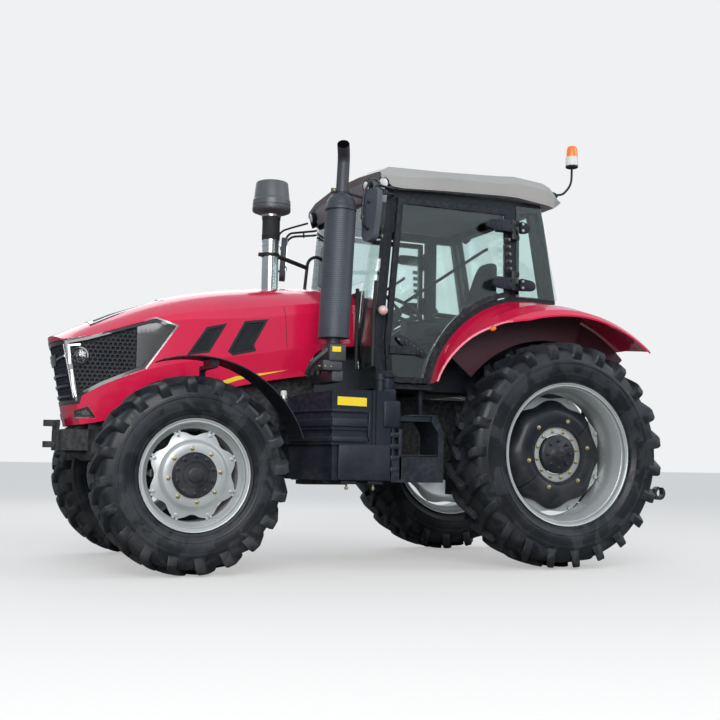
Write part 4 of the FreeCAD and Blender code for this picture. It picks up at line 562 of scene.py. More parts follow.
class TRACTOR_OT_rear_wheels(bpy.types.Operator):
    """Make the rear rims, their split cast weights and hubs"""
    bl_idname = "tractor.rear_wheels"
    bl_label = "Rear Wheels"

    def execute(self, context):
        for side_name, side in SIDES:
            middle, body = 0.965, f"wheel_rear_{side_name}"
            self.rim(side_name, side, middle, body)
            self.weight(side_name, side, middle, body)
            hub = bmesh.new()
            turned_shape(hub, [(middle + across, radius) for across, radius in REAR_HUB], REAR_AXLE, HUB_STEPS, side)
            nut_ring(hub, REAR_AXLE, side, middle + 0.060, 0.106, 8, 0.0115)
            for index in range(6):
                base = wheel_point(REAR_AXLE, side, middle + 0.0735, 0.030, 2 * math.pi * index / 6)
                add_hexagon(hub, base, Vector((0, side, 0)), 0.006, 0.004)
            finished(f"hub_cap_rear_{side_name}", hub, "Black Paint", body, (f"hub_rear_{side_name}",))
        return {"FINISHED"}

    def rim(self, side_name, side, middle, body):
        """The barrel, the wavy disc and its nuts."""
        rim = bmesh.new()
        turned_shape(rim, barrel_profile(middle, 0.200, 0.545, 0.025, 0.474), REAR_AXLE, 160, side)
        turned_shape(rim, doubled([(middle + a, r) for a, r in REAR_DISC], 0.011), REAR_AXLE, 192, side,
                     lobed(0.400, 0.466, 0.437, 1.2))
        for index in range(8):
            turn = 2 * math.pi * (index + 0.5) / 8
            base = wheel_point(REAR_AXLE, side, middle - 0.066, 0.452, turn)
            add_hexagon(rim, base, Vector((0, side, 0)), 0.020, 0.012, corners=4, turn=turn, taper=0.9)
        bmesh.ops.recalc_face_normals(rim, faces=rim.faces)
        finished(f"rim_painted_rear_{side_name}", rim, "Rim Silver", body, (f"rim_rear_{side_name}",))
        nuts = bmesh.new()
        nut_ring(nuts, REAR_AXLE, side, middle + 0.0248, 0.181, 12, 0.0120, 0.2)
        finished(f"disc_nuts_rear_{side_name}", nuts, "Plated Bolt", body)

    def weight(self, side_name, side, middle, body):
        """Two halves of the cast weight, parted on a slant, with their bolts."""
        weight = bmesh.new()
        reach = lobed(0.352, 0.426, 0.392, 1.2, 8, 0.39)
        gap = 0.011
        start = math.radians(130)
        for half in (0, math.pi):
            rings = []
            for step in range(73):
                angle = start + half + gap + (math.pi - 2 * gap) * step / 72
                rings.append([weight.verts.new(wheel_point(REAR_AXLE, side, middle + a, reach(r, angle), angle))
                              for a, r in REAR_WEIGHT])
            rings_to_faces(weight, rings)
            weight.faces.new(rings[0])
            weight.faces.new(list(reversed(rings[-1])))
        bmesh.ops.recalc_face_normals(weight, faces=weight.faces)
        finished(f"cast_weight_{side_name}", weight, "Black Paint", body,
                 (f"wheel_weight_{side_name}",))
        bolts = bmesh.new()
        nut_ring(bolts, REAR_AXLE, side, middle + 0.056, 0.268, 6, 0.0125, 0.72)
        finished(f"weight_bolts_{side_name}", bolts, "Plated Bolt", body)


class TRACTOR_OT_front_wheels(bpy.types.Operator):
    """Make the front rims with their lobed discs, and the planetary hubs"""
    bl_idname = "tractor.front_wheels"
    bl_label = "Front Wheels"

    def execute(self, context):
        for side_name, side in SIDES:
            middle, body = 0.925, f"wheel_front_{side_name}"
            rim = bmesh.new()
            turned_shape(rim, barrel_profile(middle, 0.170, 0.380, 0.025, 0.309), FRONT_AXLE, 144, side)
            turned_shape(rim, doubled([(middle + a, r) for a, r in FRONT_DISC], 0.010), FRONT_AXLE, 192, side,
                         lobed(0.244, 0.303, 0.264, 1.3))
            for index in range(8):
                turn = 2 * math.pi * (index + 0.5) / 8
                base = wheel_point(FRONT_AXLE, side, middle + 0.105, 0.287, turn)
                add_nut(rim, base, Vector((0, side, 0)), 0.010)
                for shift in (-0.045, 0.045):
                    lug = wheel_point(FRONT_AXLE, side, middle + 0.084, 0.306, turn + shift)
                    add_hexagon(rim, lug, Vector((0, side, 0)), 0.014, 0.022, corners=4, turn=turn, taper=0.95)
            bmesh.ops.recalc_face_normals(rim, faces=rim.faces)
            finished(f"rim_painted_front_{side_name}", rim, "Rim Silver", body,
                     (f"rim_front_{side_name}",))
            nuts = bmesh.new()
            nut_ring(nuts, FRONT_AXLE, side, middle + 0.140, 0.179, 8, 0.0115, 0.12)
            finished(f"disc_nuts_front_{side_name}", nuts, "Plated Bolt", body)
            self.hub(side_name, side, middle, body)
        return {"FINISHED"}

    def hub(self, side_name, side, middle, body):
        """The planetary hub's stepped cap with its edge bolts and raised arcs."""
        hub = bmesh.new()
        turned_shape(hub, [(middle + a, r) for a, r in FRONT_HUB], FRONT_AXLE, HUB_STEPS, side)
        inner = [(-0.047, 0.001), (-0.047, 0.120), (0.060, 0.142), (0.086, 0.192), (0.1275, 0.192), (0.1275, 0.001)]
        turned_shape(hub, [(middle + a, r) for a, r in inner], FRONT_AXLE, HUB_STEPS, side)
        nut_ring(hub, FRONT_AXLE, side, middle + 0.1725, 0.126, 10, 0.0115)
        for index in range(5):
            turn = 2 * math.pi * index / 5
            rings = []
            for step in range(9):
                angle = turn + math.radians(36) * (step / 8 - 0.5)
                rings.append([hub.verts.new(wheel_point(FRONT_AXLE, side, middle + a, r, angle)) for a, r in (
                    (0.1725, 0.1000), (0.1790, 0.0995), (0.1790, 0.0965), (0.1725, 0.0960))])
            rings_to_faces(hub, rings)
            hub.faces.new(rings[0])
            hub.faces.new(list(reversed(rings[-1])))
        bmesh.ops.recalc_face_normals(hub, faces=hub.faces)
        finished(f"hub_cap_front_{side_name}", hub, "Black Paint", body, (f"hub_front_{side_name}",))


# Hood: trim that follows the shell's side and nose

HOOD_SECTIONS = (
    # x ahead of the rear axle; half width and height at the lower edge, waist, lower and upper shoulder; crown
    (1.440, 0.398, 1.500, 0.412, 1.690, 0.408, 1.925, 0.392, 2.008, 2.172),
    (2.000, 0.402, 1.412, 0.420, 1.631, 0.412, 1.893, 0.395, 1.970, 2.143),
    (2.500, 0.402, 1.305, 0.422, 1.540, 0.412, 1.832, 0.395, 1.903, 2.088),
    (2.900, 0.396, 1.185, 0.418, 1.470, 0.410, 1.792, 0.392, 1.838, 2.004),
    (3.300, 0.375, 1.062, 0.398, 1.342, 0.390, 1.690, 0.375, 1.722, 1.862),
    (3.780, 0.325, 1.010, 0.345, 1.110, 0.340, 1.575, 0.325, 1.596, 1.640),
)
NOSE_LEAN, NOSE_MIDDLE, NOSE_BOW = 0.21, 3.600, 1.0625


def hood_section(ahead):
    """The hood's section at a distance ahead of the rear axle."""
    for first, second in zip(HOOD_SECTIONS, HOOD_SECTIONS[1:]):
        if ahead <= second[0]:
            break
    share = (ahead - first[0]) / (second[0] - first[0])
    return [a + (b - a) * share for a, b in zip(first, second)]


def hood_side(ahead, height):
    """Half width of the hood at a place on its side."""
    section = hood_section(ahead)
    corners = [(section[k], section[k + 1]) for k in (1, 3, 5, 7)]
    for (low_half, low), (high_half, high) in zip(corners, corners[1:]):
        if height <= high:
            break
    share = (height - low) / (high - low)
    return low_half + (high_half - low_half) * max(-0.3, min(1.3, share))


def hood_top(ahead, across):
    """Height of the hood's crown at a place on its top."""
    section = hood_section(ahead)
    half, edge, crown = section[7], section[8], section[9]
    rise = crown - edge
    bow = (half * half + rise * rise) / (2 * rise)
    return crown - bow + math.sqrt(max(0.0, bow * bow - across * across))


def nose_face(across, height):
    """How far ahead of the rear axle the nose's face stands."""
    return NOSE_MIDDLE + NOSE_LEAN * (height - 1.0) - NOSE_BOW + math.sqrt(NOSE_BOW ** 2 - across ** 2)


def on_side(side):
    """Places (ahead, height, lift) on one side of the hood, lift outwards."""
    def spot(ahead, height, lift):
        return Vector((REAR_AXLE.x + ahead, side * (hood_side(ahead, height) + lift), height))
    return spot


def on_nose(across, height, lift):
    """Places (across, height, lift) on the nose's face, lift forwards."""
    return Vector((REAR_AXLE.x + nose_face(across, height) + lift, across, height))


def on_top(ahead, across, lift):
    """Places (ahead, across, lift) on top of the hood, lift upwards."""
    return Vector((REAR_AXLE.x + ahead, across, hood_top(ahead, across) + lift))


def flat_faces(loops, step):
    """Flat faces between corner loops, cut by a grid so that they can bend; one loop makes a full face."""
    flat = bmesh.new()
    if len(loops) == 1:
        flat.faces.new([flat.verts.new((a, b, 0)) for a, b in loops[0]])
    else:
        outer, inner = [[flat.verts.new((a, b, 0)) for a, b in loop] for loop in loops]
        for k in range(len(outer)):
            after = (k + 1) % len(outer)
            flat.faces.new((outer[k], outer[after], inner[after], inner[k]))
    for axis in (0, 1):
        values = [corner[axis] for corner in loops[0]]
        cut = math.floor(min(values) / step) * step
        while cut < max(values):
            place = Vector((cut, 0, 0)) if axis == 0 else Vector((0, cut, 0))
            way = Vector((1, 0, 0)) if axis == 0 else Vector((0, 1, 0))
            bmesh.ops.bisect_plane(flat, geom=flat.verts[:] + flat.edges[:] + flat.faces[:],
                                   plane_co=place, plane_no=way)
            cut += step
    return flat


def add_skin(mesh_data, loops, spot, lift, depth, step=0.04):
    """A sheet with thickness that follows a surface: one outline, or an outer and an inner one."""
    flat = flat_faces(loops, step)
    border = [edge for edge in flat.edges if len(edge.link_faces) == 1]
    levels = []
    for height in (lift, lift - depth):
        levels.append({vert: mesh_data.verts.new(spot(vert.co.x, vert.co.y, height)) for vert in flat.verts})
    for face in flat.faces:
        mesh_data.faces.new([levels[0][vert] for vert in face.verts])
        mesh_data.faces.new([levels[1][vert] for vert in reversed(face.verts)])
    for edge in border:
        first, second = edge.verts
        mesh_data.faces.new((levels[0][first], levels[0][second], levels[1][second], levels[1][first]))
    flat.free()


def drawn_in(outline, gap):
    """An outline with each side moved inwards by a gap."""
    count = len(outline)
    area = sum(outline[k][0] * outline[(k + 1) % count][1] - outline[(k + 1) % count][0] * outline[k][1]
               for k in range(count))
    turn = 1 if area > 0 else -1
    inner = []
    for k in range(count):
        corner, before, after = (Vector(outline[k]), Vector(outline[k - 1]), Vector(outline[(k + 1) % count]))
        arriving, leaving = (corner - before).normalized(), (after - corner).normalized()
        normals = [Vector((-way.y, way.x)) * turn for way in (arriving, leaving)]
        middle = (normals[0] + normals[1]) / max(0.35, 1 + normals[0].dot(normals[1]))
        inner.append(tuple(corner + middle * gap))
    return inner


def inside(point, outline):
    """Whether a point lies inside an outline."""
    found = False
    for (ax, ay), (bx, by) in zip(outline, outline[1:] + outline[:1]):
        if (ay > point[1]) != (by > point[1]) and point[0] < (bx - ax) * (point[1] - ay) / (by - ay) + ax:
            found = not found
    return found


def add_honeycomb(mesh_data, outline, spot, lift, depth, pitch=0.034, wall=0.005):
    """Six-sided cells in staggered rows inside an outline."""
    low = [min(corner[k] for corner in outline) for k in (0, 1)]
    high = [max(corner[k] for corner in outline) for k in (0, 1)]
    rise = pitch * math.sqrt(3) / 2
    outer, inner = pitch / math.sqrt(3), pitch / math.sqrt(3) - wall
    for row in range(int((high[1] - low[1]) / rise) + 2):
        for column in range(int((high[0] - low[0]) / pitch) + 2):
            middle = (low[0] + (column + row % 2 / 2) * pitch, low[1] + row * rise)
            if not inside(middle, outline):
                continue
            turns = [math.pi / 6 + math.pi * k / 3 for k in range(6)]
            rim, lip, back = [[mesh_data.verts.new(spot(
                middle[0] + reach * math.cos(turn), middle[1] + reach * math.sin(turn), height))
                for turn in turns] for reach, height in ((outer, lift), (inner, lift - 0.001), (inner, lift - depth))]
            rings_to_faces(mesh_data, [rim, lip, back])
    bmesh.ops.remove_doubles(mesh_data, verts=mesh_data.verts, dist=0.0004)


def add_strip(mesh_data, line, spot, width, lift, depth):
    """A narrow strip of even width along a line on a surface."""
    left, right = [], []
    for k, corner in enumerate(line):
        before = Vector(line[max(0, k - 1)])
        after = Vector(line[min(len(line) - 1, k + 1)])
        corner = Vector(corner)
        ways = [(corner - before), (after - corner)]
        ways = [way.normalized() for way in ways if way.length > 1e-9]
        along = sum(ways, Vector((0, 0))).normalized()
        across = Vector((-along.y, along.x)) * width / 2 / max(0.5, along.dot(ways[0]))
        left.append(tuple(corner + across))
        right.append(tuple(corner - across))
    for k in range(len(line) - 1):
        add_skin(mesh_data, [[left[k], left[k + 1], right[k + 1], right[k]]], spot, lift, depth)


MASK_OUTLINE = ((3.668, 1.606), (3.512, 1.643), (3.037, 1.800), (2.884, 1.751), (3.104, 1.430),
                (3.399, 1.298), (3.537, 1.217), (3.550, 1.158), (3.580, 1.158))
MASK_CELLS = ((3.640, 1.560), (3.500, 1.605), (3.180, 1.712), (3.180, 1.430), (3.405, 1.330), (3.560, 1.240))
MASK_PANEL = ((3.165, 1.735), (3.040, 1.776), (2.920, 1.738), (3.120, 1.452), (3.165, 1.432))
VENT_OUTLINES = (
    ((2.803, 1.541), (2.658, 1.758), (2.502, 1.797), (2.634, 1.569)),
    ((2.496, 1.584), (2.367, 1.822), (2.182, 1.848), (2.292, 1.644), (2.275, 1.600), (2.453, 1.556)),
)
NOSE_OUTLINE = ((-0.345, 1.160), (0.345, 1.160), (0.332, 1.606), (-0.332, 1.606))
SCOOP_OUTLINE = ((2.930, -0.150), (3.480, -0.230), (3.480, 0.230), (2.930, 0.150))


class TRACTOR_OT_hood_trim(bpy.types.Operator):
    """Make the nose mask with its mesh and lamps, the vents, the scoop, the chrome and the stripe"""
    bl_idname = "tractor.hood_trim"
    bl_label = "Hood Trim"

    def execute(self, context):
        mask, cells, chrome, lamps = bmesh.new(), bmesh.new(), bmesh.new(), bmesh.new()
        stripe, seams, backing = bmesh.new(), bmesh.new(), bmesh.new()
        for _, side in SIDES:
            spot = on_side(side)
            self.side_mask(mask, cells, chrome, lamps, backing, spot)
            for outline in VENT_OUTLINES:
                inner = drawn_in(outline, 0.020)
                add_skin(mask, [outline, inner], spot, 0.003, 0.022)
                add_skin(mask, [drawn_in(outline, 0.028), drawn_in(outline, 0.034)], spot, -0.004, 0.010)
                add_skin(backing, [drawn_in(outline, 0.010)], spot, -0.022, 0.005)
                add_honeycomb(cells, inner, spot, -0.008, 0.010, 0.016, 0.0035)
            add_skin(stripe, [((2.520, 1.366), (2.425, 1.402), (2.010, 1.472), (2.400, 1.378), (2.500, 1.340))],
                     spot, 0.0012, 0.003)
            add_strip(seams, ((3.400, 1.290), (3.372, 1.085)), spot, 0.005, 0.0008, 0.003)
            add_strip(seams, ((2.030, 1.640), (2.044, 1.880), (2.060, 1.960)), spot, 0.004, 0.0008, 0.003)
            self.fog_lamp(mask, chrome, lamps, spot)
        self.nose(mask, cells, chrome, lamps, backing)
        add_skin(mask, [SCOOP_OUTLINE, drawn_in(SCOOP_OUTLINE, 0.03)], on_top, 0.006, 0.020)
        add_skin(backing, [drawn_in(SCOOP_OUTLINE, 0.02)], on_top, -0.012, 0.006)
        add_honeycomb(cells, drawn_in(SCOOP_OUTLINE, 0.03), on_top, -0.002, 0.008, 0.030, 0.005)
        for mesh_data in (mask, cells, chrome, lamps, stripe, seams, backing):
            bmesh.ops.recalc_face_normals(mesh_data, faces=mesh_data.faces)
        finished("nose_mask", mask, "Gloss Plastic", "hood", ("hood_grilles",))
        finished("nose_mesh", cells, "Moulded Plastic", "hood")
        finished("nose_backing", backing, "Rubber Seal", "hood")
        finished("nose_chrome", chrome, "Chrome", "hood")
        finished("nose_lenses", lamps, "Lamp Lens", "hood", ("headlamps",))
        finished("hood_stripe", stripe, "Yellow Paint", "hood")
        finished("hood_seams", seams, "Rubber Seal", "hood")
        return {"FINISHED"}

    def side_mask(self, mask, cells, chrome, lamps, backing, spot):
        """The mask's frame, panel, mesh, chrome line and lamp on one side."""
        frame_in = drawn_in(MASK_OUTLINE, 0.024)
        add_skin(mask, [MASK_OUTLINE, frame_in], spot, 0.001, 0.026)
        add_skin(backing, [drawn_in(MASK_OUTLINE, 0.008)], spot, -0.034, 0.005)
        add_skin(mask, [MASK_PANEL], spot, -0.004, 0.010)
        for shift in (0.030, 0.060, 0.090):
            add_strip(mask, ((3.165 - shift, 1.715), (3.165 - shift, 1.500 + shift * 0.9)), spot, 0.005, 0.000, 0.008)
        add_honeycomb(cells, MASK_CELLS, spot, -0.006, 0.016)
        add_strip(chrome, ((3.120, 1.776), (3.032, 1.806), (2.876, 1.752), (3.098, 1.426)), spot, 0.011, 0.005, 0.010)
        add_strip(chrome, ((3.560, 1.582), (3.640, 1.572), (3.628, 1.440)), spot, 0.012, 0.004, 0.010)
        add_strip(chrome, ((3.615, 1.400), (3.596, 1.270), (3.578, 1.210), (3.572, 1.180)), spot, 0.010, 0.004, 0.010)
        add_strip(lamps, ((3.650, 1.612), (3.520, 1.645)), spot, 0.014, 0.003, 0.010)
        for ahead, height, reach in ((3.560, 1.500, 0.052),):
            middle = spot(ahead, height, -0.016)
            way = (spot(ahead, height, 1.0) - spot(ahead, height, 0.0)).normalized() + Vector((0.35, 0, 0))
            way.normalize()
            first = way.orthogonal().normalized()
            second = way.cross(first)
            for target, outline in (
                    (mask, ((reach + 0.014, 0.000), (reach + 0.014, 0.020), (reach + 0.004, 0.022),
                            (reach, 0.008), (reach, 0.000))),
                    (chrome, ((reach, 0.000), (reach, 0.009), (reach * 0.8, 0.001), (reach * 0.35, -0.010),
                              (reach * 0.3, -0.012))),
                    (lamps, ((reach, 0.010), (reach * 0.7, 0.018), (reach * 0.35, 0.022), (0.0005, 0.023),
                             (0.0005, 0.018), (reach * 0.7, 0.014), (reach, 0.007)))):
                rings = [[target.verts.new(middle + way * rise + (
                    first * math.cos(2 * math.pi * k / 40) + second * math.sin(2 * math.pi * k / 40)) * out)
                    for out, rise in outline] for k in range(40)]
                rings_to_faces(target, rings, True, True)

    def fog_lamp(self, mask, chrome, lamps, spot):
        """The lower corner recess with its lamp."""
        outline = ((3.579, 1.062), (3.588, 1.109), (3.486, 1.143), (3.433, 1.063))
        add_skin(mask, [outline, drawn_in(outline, 0.009)], spot, 0.002, 0.012)
        add_skin(mask, [drawn_in(outline, 0.009)], spot, -0.010, 0.006)
        add_skin(lamps, [drawn_in(outline, 0.020)], spot, -0.003, 0.006)
        add_strip(chrome, ((3.486, 1.146), (3.430, 1.061), (3.575, 1.059)), spot, 0.006, 0.003, 0.006)

    def nose(self, mask, cells, chrome, lamps, backing):
        """The front face: frame, mesh, a bare badge plate, bars and the light strip."""
        add_skin(mask, [NOSE_OUTLINE, drawn_in(NOSE_OUTLINE, 0.026)], on_nose, 0.001, 0.026)
        add_skin(backing, [drawn_in(NOSE_OUTLINE, 0.008)], on_nose, -0.034, 0.005)
        add_honeycomb(cells, drawn_in(NOSE_OUTLINE, 0.020), on_nose, -0.006, 0.016)
        add_skin(mask, [((-0.110, 1.440), (0.110, 1.440), (0.150, 1.520), (-0.150, 1.520))], on_nose, 0.006, 0.020)
        for height in (1.215, 1.290, 1.365):
            add_strip(mask, ((-0.280, height), (0.280, height)), on_nose, 0.016, 0.004, 0.018)
        for way in (-1, 1):
            add_strip(chrome, ((way * 0.155, 1.480), (way * 0.318, 1.500)), on_nose, 0.014, 0.008, 0.014)
            add_strip(chrome, ((way * 0.320, 1.580), (way * 0.326, 1.400), (way * 0.332, 1.200)),
                      on_nose, 0.010, 0.004, 0.012)
        add_strip(lamps, ((-0.318, 1.616), (0.318, 1.616)), on_nose, 0.013, 0.003, 0.010)


# Shapes for the upright and moulded pieces

UP = Vector((0, 0, 1))


def add_turned(mesh_data, profile, place, way=UP, steps=48, closed=False):
    """A (radius, rise) line turned about a direction; an open line is closed at its ends by small rings."""
    way = way.normalized()
    first = way.orthogonal().normalized()
    second = way.cross(first)
    rings = []
    for step in range(steps):
        turn = 2 * math.pi * step / steps
        out = first * math.cos(turn) + second * math.sin(turn)
        rings.append([mesh_data.verts.new(place + way * rise + out * radius) for radius, rise in profile])
    count = len(profile)
    for step in range(steps):
        here, there = rings[step], rings[(step + 1) % steps]
        for k in range(count if closed else count - 1):
            after = (k + 1) % count
            mesh_data.faces.new((here[k], here[after], there[after], there[k]))
    if not closed:
        mesh_data.faces.new([ring[0] for ring in reversed(rings)])
        mesh_data.faces.new([ring[-1] for ring in rings])


def smooth_path(points, radius, steps=6):
    """A path of points with its corners rounded."""
    path = [Vector(points[0])]
    for before, corner, after in zip(points, points[1:], points[2:]):
        before, corner, after = Vector(before), Vector(corner), Vector(after)
        reach = min(radius, (before - corner).length * 0.48, (after - corner).length * 0.48)
        first = corner + (before - corner).normalized() * reach
        last = corner + (after - corner).normalized() * reach
        for step in range(steps + 1):
            share = step / steps
            path.append(first.lerp(corner, share).lerp(corner.lerp(last, share), share))
    path.append(Vector(points[-1]))
    return path


def add_tube(mesh_data, points, radius, bend=0.05, sides=12):
    """A round bar along a path with rounded corners."""
    path = smooth_path(points, bend)
    across = (path[1] - path[0]).orthogonal().normalized()
    rings = []
    for k, spot in enumerate(path):
        along = (path[min(k + 1, len(path) - 1)] - path[max(k - 1, 0)]).normalized()
        across = (across - along * across.dot(along)).normalized()
        second = along.cross(across)
        rings.append([mesh_data.verts.new(spot + (
            across * math.cos(2 * math.pi * s / sides) + second * math.sin(2 * math.pi * s / sides)) * radius)
            for s in range(sides)])
    rings_to_faces(mesh_data, rings)
    mesh_data.faces.new(rings[-1])
    mesh_data.faces.new(list(reversed(rings[0])))


def add_block(mesh_data, outline, spot, low, high, bevel=0.0, steps=2):
    """A solid between two levels of an outline, with its edges rounded."""
    loops = [[mesh_data.verts.new(spot(a, b, level)) for a, b in outline] for level in (low, high)]
    faces = [mesh_data.faces.new(loops[1]), mesh_data.faces.new(list(reversed(loops[0])))]
    for k in range(len(outline)):
        after = (k + 1) % len(outline)
        faces.append(mesh_data.faces.new((loops[0][k], loops[0][after], loops[1][after], loops[1][k])))
    if bevel:
        edges = list({edge for face in faces for edge in face.edges})
        bmesh.ops.bevel(mesh_data, geom=edges, offset=bevel, segments=steps, profile=0.5, affect="EDGES",
                        clamp_overlap=True)


def add_box(mesh_data, low, high, bevel=0.0, steps=2):
    """A box between two corners, with its edges rounded."""
    outline = ((low[0], low[1]), (high[0], low[1]), (high[0], high[1]), (low[0], high[1]))
    add_block(mesh_data, outline, lambda a, b, level: Vector((a, b, level)), low[2], high[2], bevel, steps)


def upright(side):
    """Places (x, z, distance from the middle) on one side of the tractor."""
    def spot(ahead, height, out):
        return Vector((ahead, side * out, height))
    return spot


def on_column(foot, radius, lean=0.0):
    """Places (round, rise, lift) on a column that may lean ahead."""
    def spot(along, height, lift):
        turn = along / radius
        reach = radius + lift
        return foot + Vector((reach * math.cos(turn) + lean * height, reach * math.sin(turn), height))
    return spot


def tidy(*meshes):
    """Turn every face of the meshes outwards."""
    for mesh_data in meshes:
        bmesh.ops.recalc_face_normals(mesh_data, faces=mesh_data.faces)


# Exhaust and air intake

EXHAUST = Vector((0.620, 0.720, 0))
MUFFLER_RADIUS, MUFFLER_LOW, SHIELD_WALL, STACK_LEAN = 0.1135, 1.700, 0.003, -0.041
INTAKE = Vector((0.730, -0.520, 0))


class TRACTOR_OT_stacks(bpy.types.Operator):
    """Make the exhaust with its pierced shield, the chrome intake and its precleaner"""
    bl_idname = "tractor.stacks"
    bl_label = "Exhaust and Intake"

    def execute(self, context):
        self.exhaust()
        self.intake()
        return {"FINISHED"}

    def exhaust(self):
        """Muffler, pierced shield, clamp, stack and the box below; all lean back a little."""
        body, shield, mouth, plate, bolts = [bmesh.new() for _ in range(5)]
        way = Vector((STACK_LEAN, 0, 1)).normalized()
        foot = EXHAUST + UP * MUFFLER_LOW

        def at(rise):
            return foot + way * rise

        add_turned(body, (
            (0.050, -0.060), (0.052, -0.002), (0.108, 0.000), (0.1115, 0.004), (0.1115, 0.962), (0.119, 0.966),
            (0.119, 0.990), (0.115, 0.996), (0.113, 1.012), (0.104, 1.048), (0.082, 1.078), (0.056, 1.090),
            (0.052, 1.100)), foot, way, 64)
        around = 2 * math.pi * MUFFLER_RADIUS
        pitch = around / 38
        outline = ((-pitch / 4, 0.006), (around - pitch / 4, 0.006), (around - pitch / 4, 0.956), (-pitch / 4, 0.956))
        add_honeycomb(shield, outline, on_column(foot, MUFFLER_RADIUS, STACK_LEAN), SHIELD_WALL, SHIELD_WALL,
                      pitch, 0.0070)
        bend = at(1.380)
        tip = bend + Vector((0.048, 0.105, 0.070))
        add_tube(body, [at(1.08), bend, tip], 0.047, 0.09, 32)
        out = (tip - bend).normalized()
        # soot and painted shade: a black disc that stands for the dark inside of the pipe's mouth
        add_turned(mouth, ((0.0445, 0.0), (0.0445, 0.0012), (0.001, 0.0014)), tip, out, 32)
        # painted shade: a near-black skin just over the muffler, seen through the shield's holes
        add_turned(mouth, ((0.1118, 0.003), (0.1122, 0.004), (0.1122, 0.958), (0.1118, 0.959)), foot, way, 64)
        add_turned(body, ((0.0525, -0.015), (0.0540, -0.013), (0.0540, 0.013), (0.0525, 0.015)), at(1.118), way, 40)
        add_tube(body, [at(1.118) + Vector((-0.05, -0.02, 0)), at(1.110) + Vector((-0.20, -0.08, 0)),
                        at(1.110) + Vector((-0.26, -0.10, 0))], 0.012, 0.03)
        add_box(body, at(1.101) + Vector((0.049, -0.012, 0)), at(1.135) + Vector((0.087, 0.012, 0)), 0.003)
        add_hexagon(bolts, at(1.118) + Vector((0.071, 0.010, 0)), Vector((0, 1, 0)), 0.011, 0.012)
        add_box(body, EXHAUST + Vector((-0.080, -0.090, 1.520)), EXHAUST + Vector((0.055, 0.070, 1.655)), 0.014, 3)
        add_box(body, EXHAUST + Vector((-0.055, -0.060, 1.450)), EXHAUST + Vector((0.100, 0.060, 1.530)), 0.016)
        add_box(body, EXHAUST + Vector((-0.070, -0.200, 1.370)), EXHAUST + Vector((0.020, 0.040, 1.460)), 0.014)
        add_box(body, (0.530, 0.272, 1.375), (0.630, 0.560, 1.450), 0.010)
        add_box(plate, EXHAUST + Vector((-0.035, 0.0715, 1.590)), EXHAUST + Vector((0.035, 0.0740, 1.630)), 0.001)
        for reach in (0.060, 0.105, 0.150):
            add_tube(body, [EXHAUST + Vector((0.030, 0.020, 1.620)), EXHAUST + Vector((reach + 0.02, 0.01, 1.660 - reach)),
                            EXHAUST + Vector((reach + 0.030, -0.080, 1.430))], 0.017, 0.08)
            add_hexagon(bolts, EXHAUST + Vector((reach - 0.02, 0.062, 1.480)), Vector((0, 1, 0)), 0.007, 0.008)
        tidy(body, shield, mouth, plate, bolts)
        finished("exhaust_body", body, "Exhaust Black", "chassis", ("exhaust",))
        finished("exhaust_shield", shield, "Shield Grey", "chassis")
        # the mouth disc is soot and painted shade; the skin behind the shield is painted shade
        finished("exhaust_mouth", mouth, "Soot and Shade Black", "chassis")
        finished("exhaust_plate", plate, "Yellow Paint", "chassis")
        finished("exhaust_bolts", bolts, "Plated Bolt", "chassis")

    def intake(self):
        """The chrome tube with its sleeve and clamps, and the ribbed precleaner on top."""
        chrome, sleeve, cleaner, ring = [bmesh.new() for _ in range(4)]
        add_turned(chrome, ((0.068, 1.300), (0.070, 1.302), (0.070, 2.655), (0.068, 2.657)), INTAKE, steps=64)
        add_turned(sleeve, (
            (0.072, 2.650), (0.0765, 2.652), (0.0765, 2.668), (0.074, 2.670), (0.0775, 2.676), (0.0775, 2.696),
            (0.0755, 2.700), (0.0755, 2.820), (0.0785, 2.824), (0.0785, 2.846), (0.072, 2.850)), INTAKE, steps=64)
        for height in (2.636, 2.600):
            add_turned(chrome, ((0.0705, -0.006), (0.0735, -0.005), (0.0735, 0.005), (0.0705, 0.006)),
                       INTAKE + UP * height, steps=64)
        add_turned(sleeve, ((0.0715, -0.016), (0.0775, -0.015), (0.0775, 0.015), (0.0715, 0.016)),
                   INTAKE + UP * 2.520, steps=64)
        add_box(sleeve, INTAKE + Vector((0.060, -0.014, 2.505)), INTAKE + Vector((0.105, 0.014, 2.537)), 0.004)
        add_tube(sleeve, [INTAKE + Vector((-0.060, 0.010, 2.515)), INTAKE + Vector((-0.200, -0.040, 2.490)),
                          INTAKE + Vector((-0.380, -0.125, 2.462))], 0.018, 0.04)
        add_tube(sleeve, [(0.385, -0.640, 2.130), (0.345, -0.650, 2.520), (0.285, -0.690, 2.570),
                          (0.190, -0.735, 2.590)], 0.014, 0.07)
        add_turned(ring, ((0.074, 2.846), (0.082, 2.848), (0.084, 2.866), (0.078, 2.870)), INTAKE, steps=64)
        add_turned(cleaner, (
            (0.082, 2.862), (0.092, 2.872), (0.132, 2.884), (0.158, 2.898), (0.163, 2.906), (0.163, 2.932),
            (0.158, 2.938), (0.158, 2.944), (0.162, 2.948), (0.160, 2.990), (0.156, 2.994), (0.152, 3.010),
            (0.138, 3.136), (0.134, 3.146), (0.124, 3.152), (0.060, 3.156), (0.002, 3.157)), INTAKE, steps=72)
        for k in range(24):
            turn = 2 * math.pi * k / 24
            out = Vector((math.cos(turn), math.sin(turn), 0))
            across = Vector((-out.y, out.x, 0)) * 0.004
            rings = [[cleaner.verts.new(INTAKE + out * reach + across * way + UP * height)
                      for reach, height in ((0.118, 2.878), (0.160, 2.894), (0.1655, 2.912), (0.120, 2.900))]
                     for way in (-1, 1)]
            rings_to_faces(cleaner, rings)
            cleaner.faces.new(rings[1])
            cleaner.faces.new(list(reversed(rings[0])))
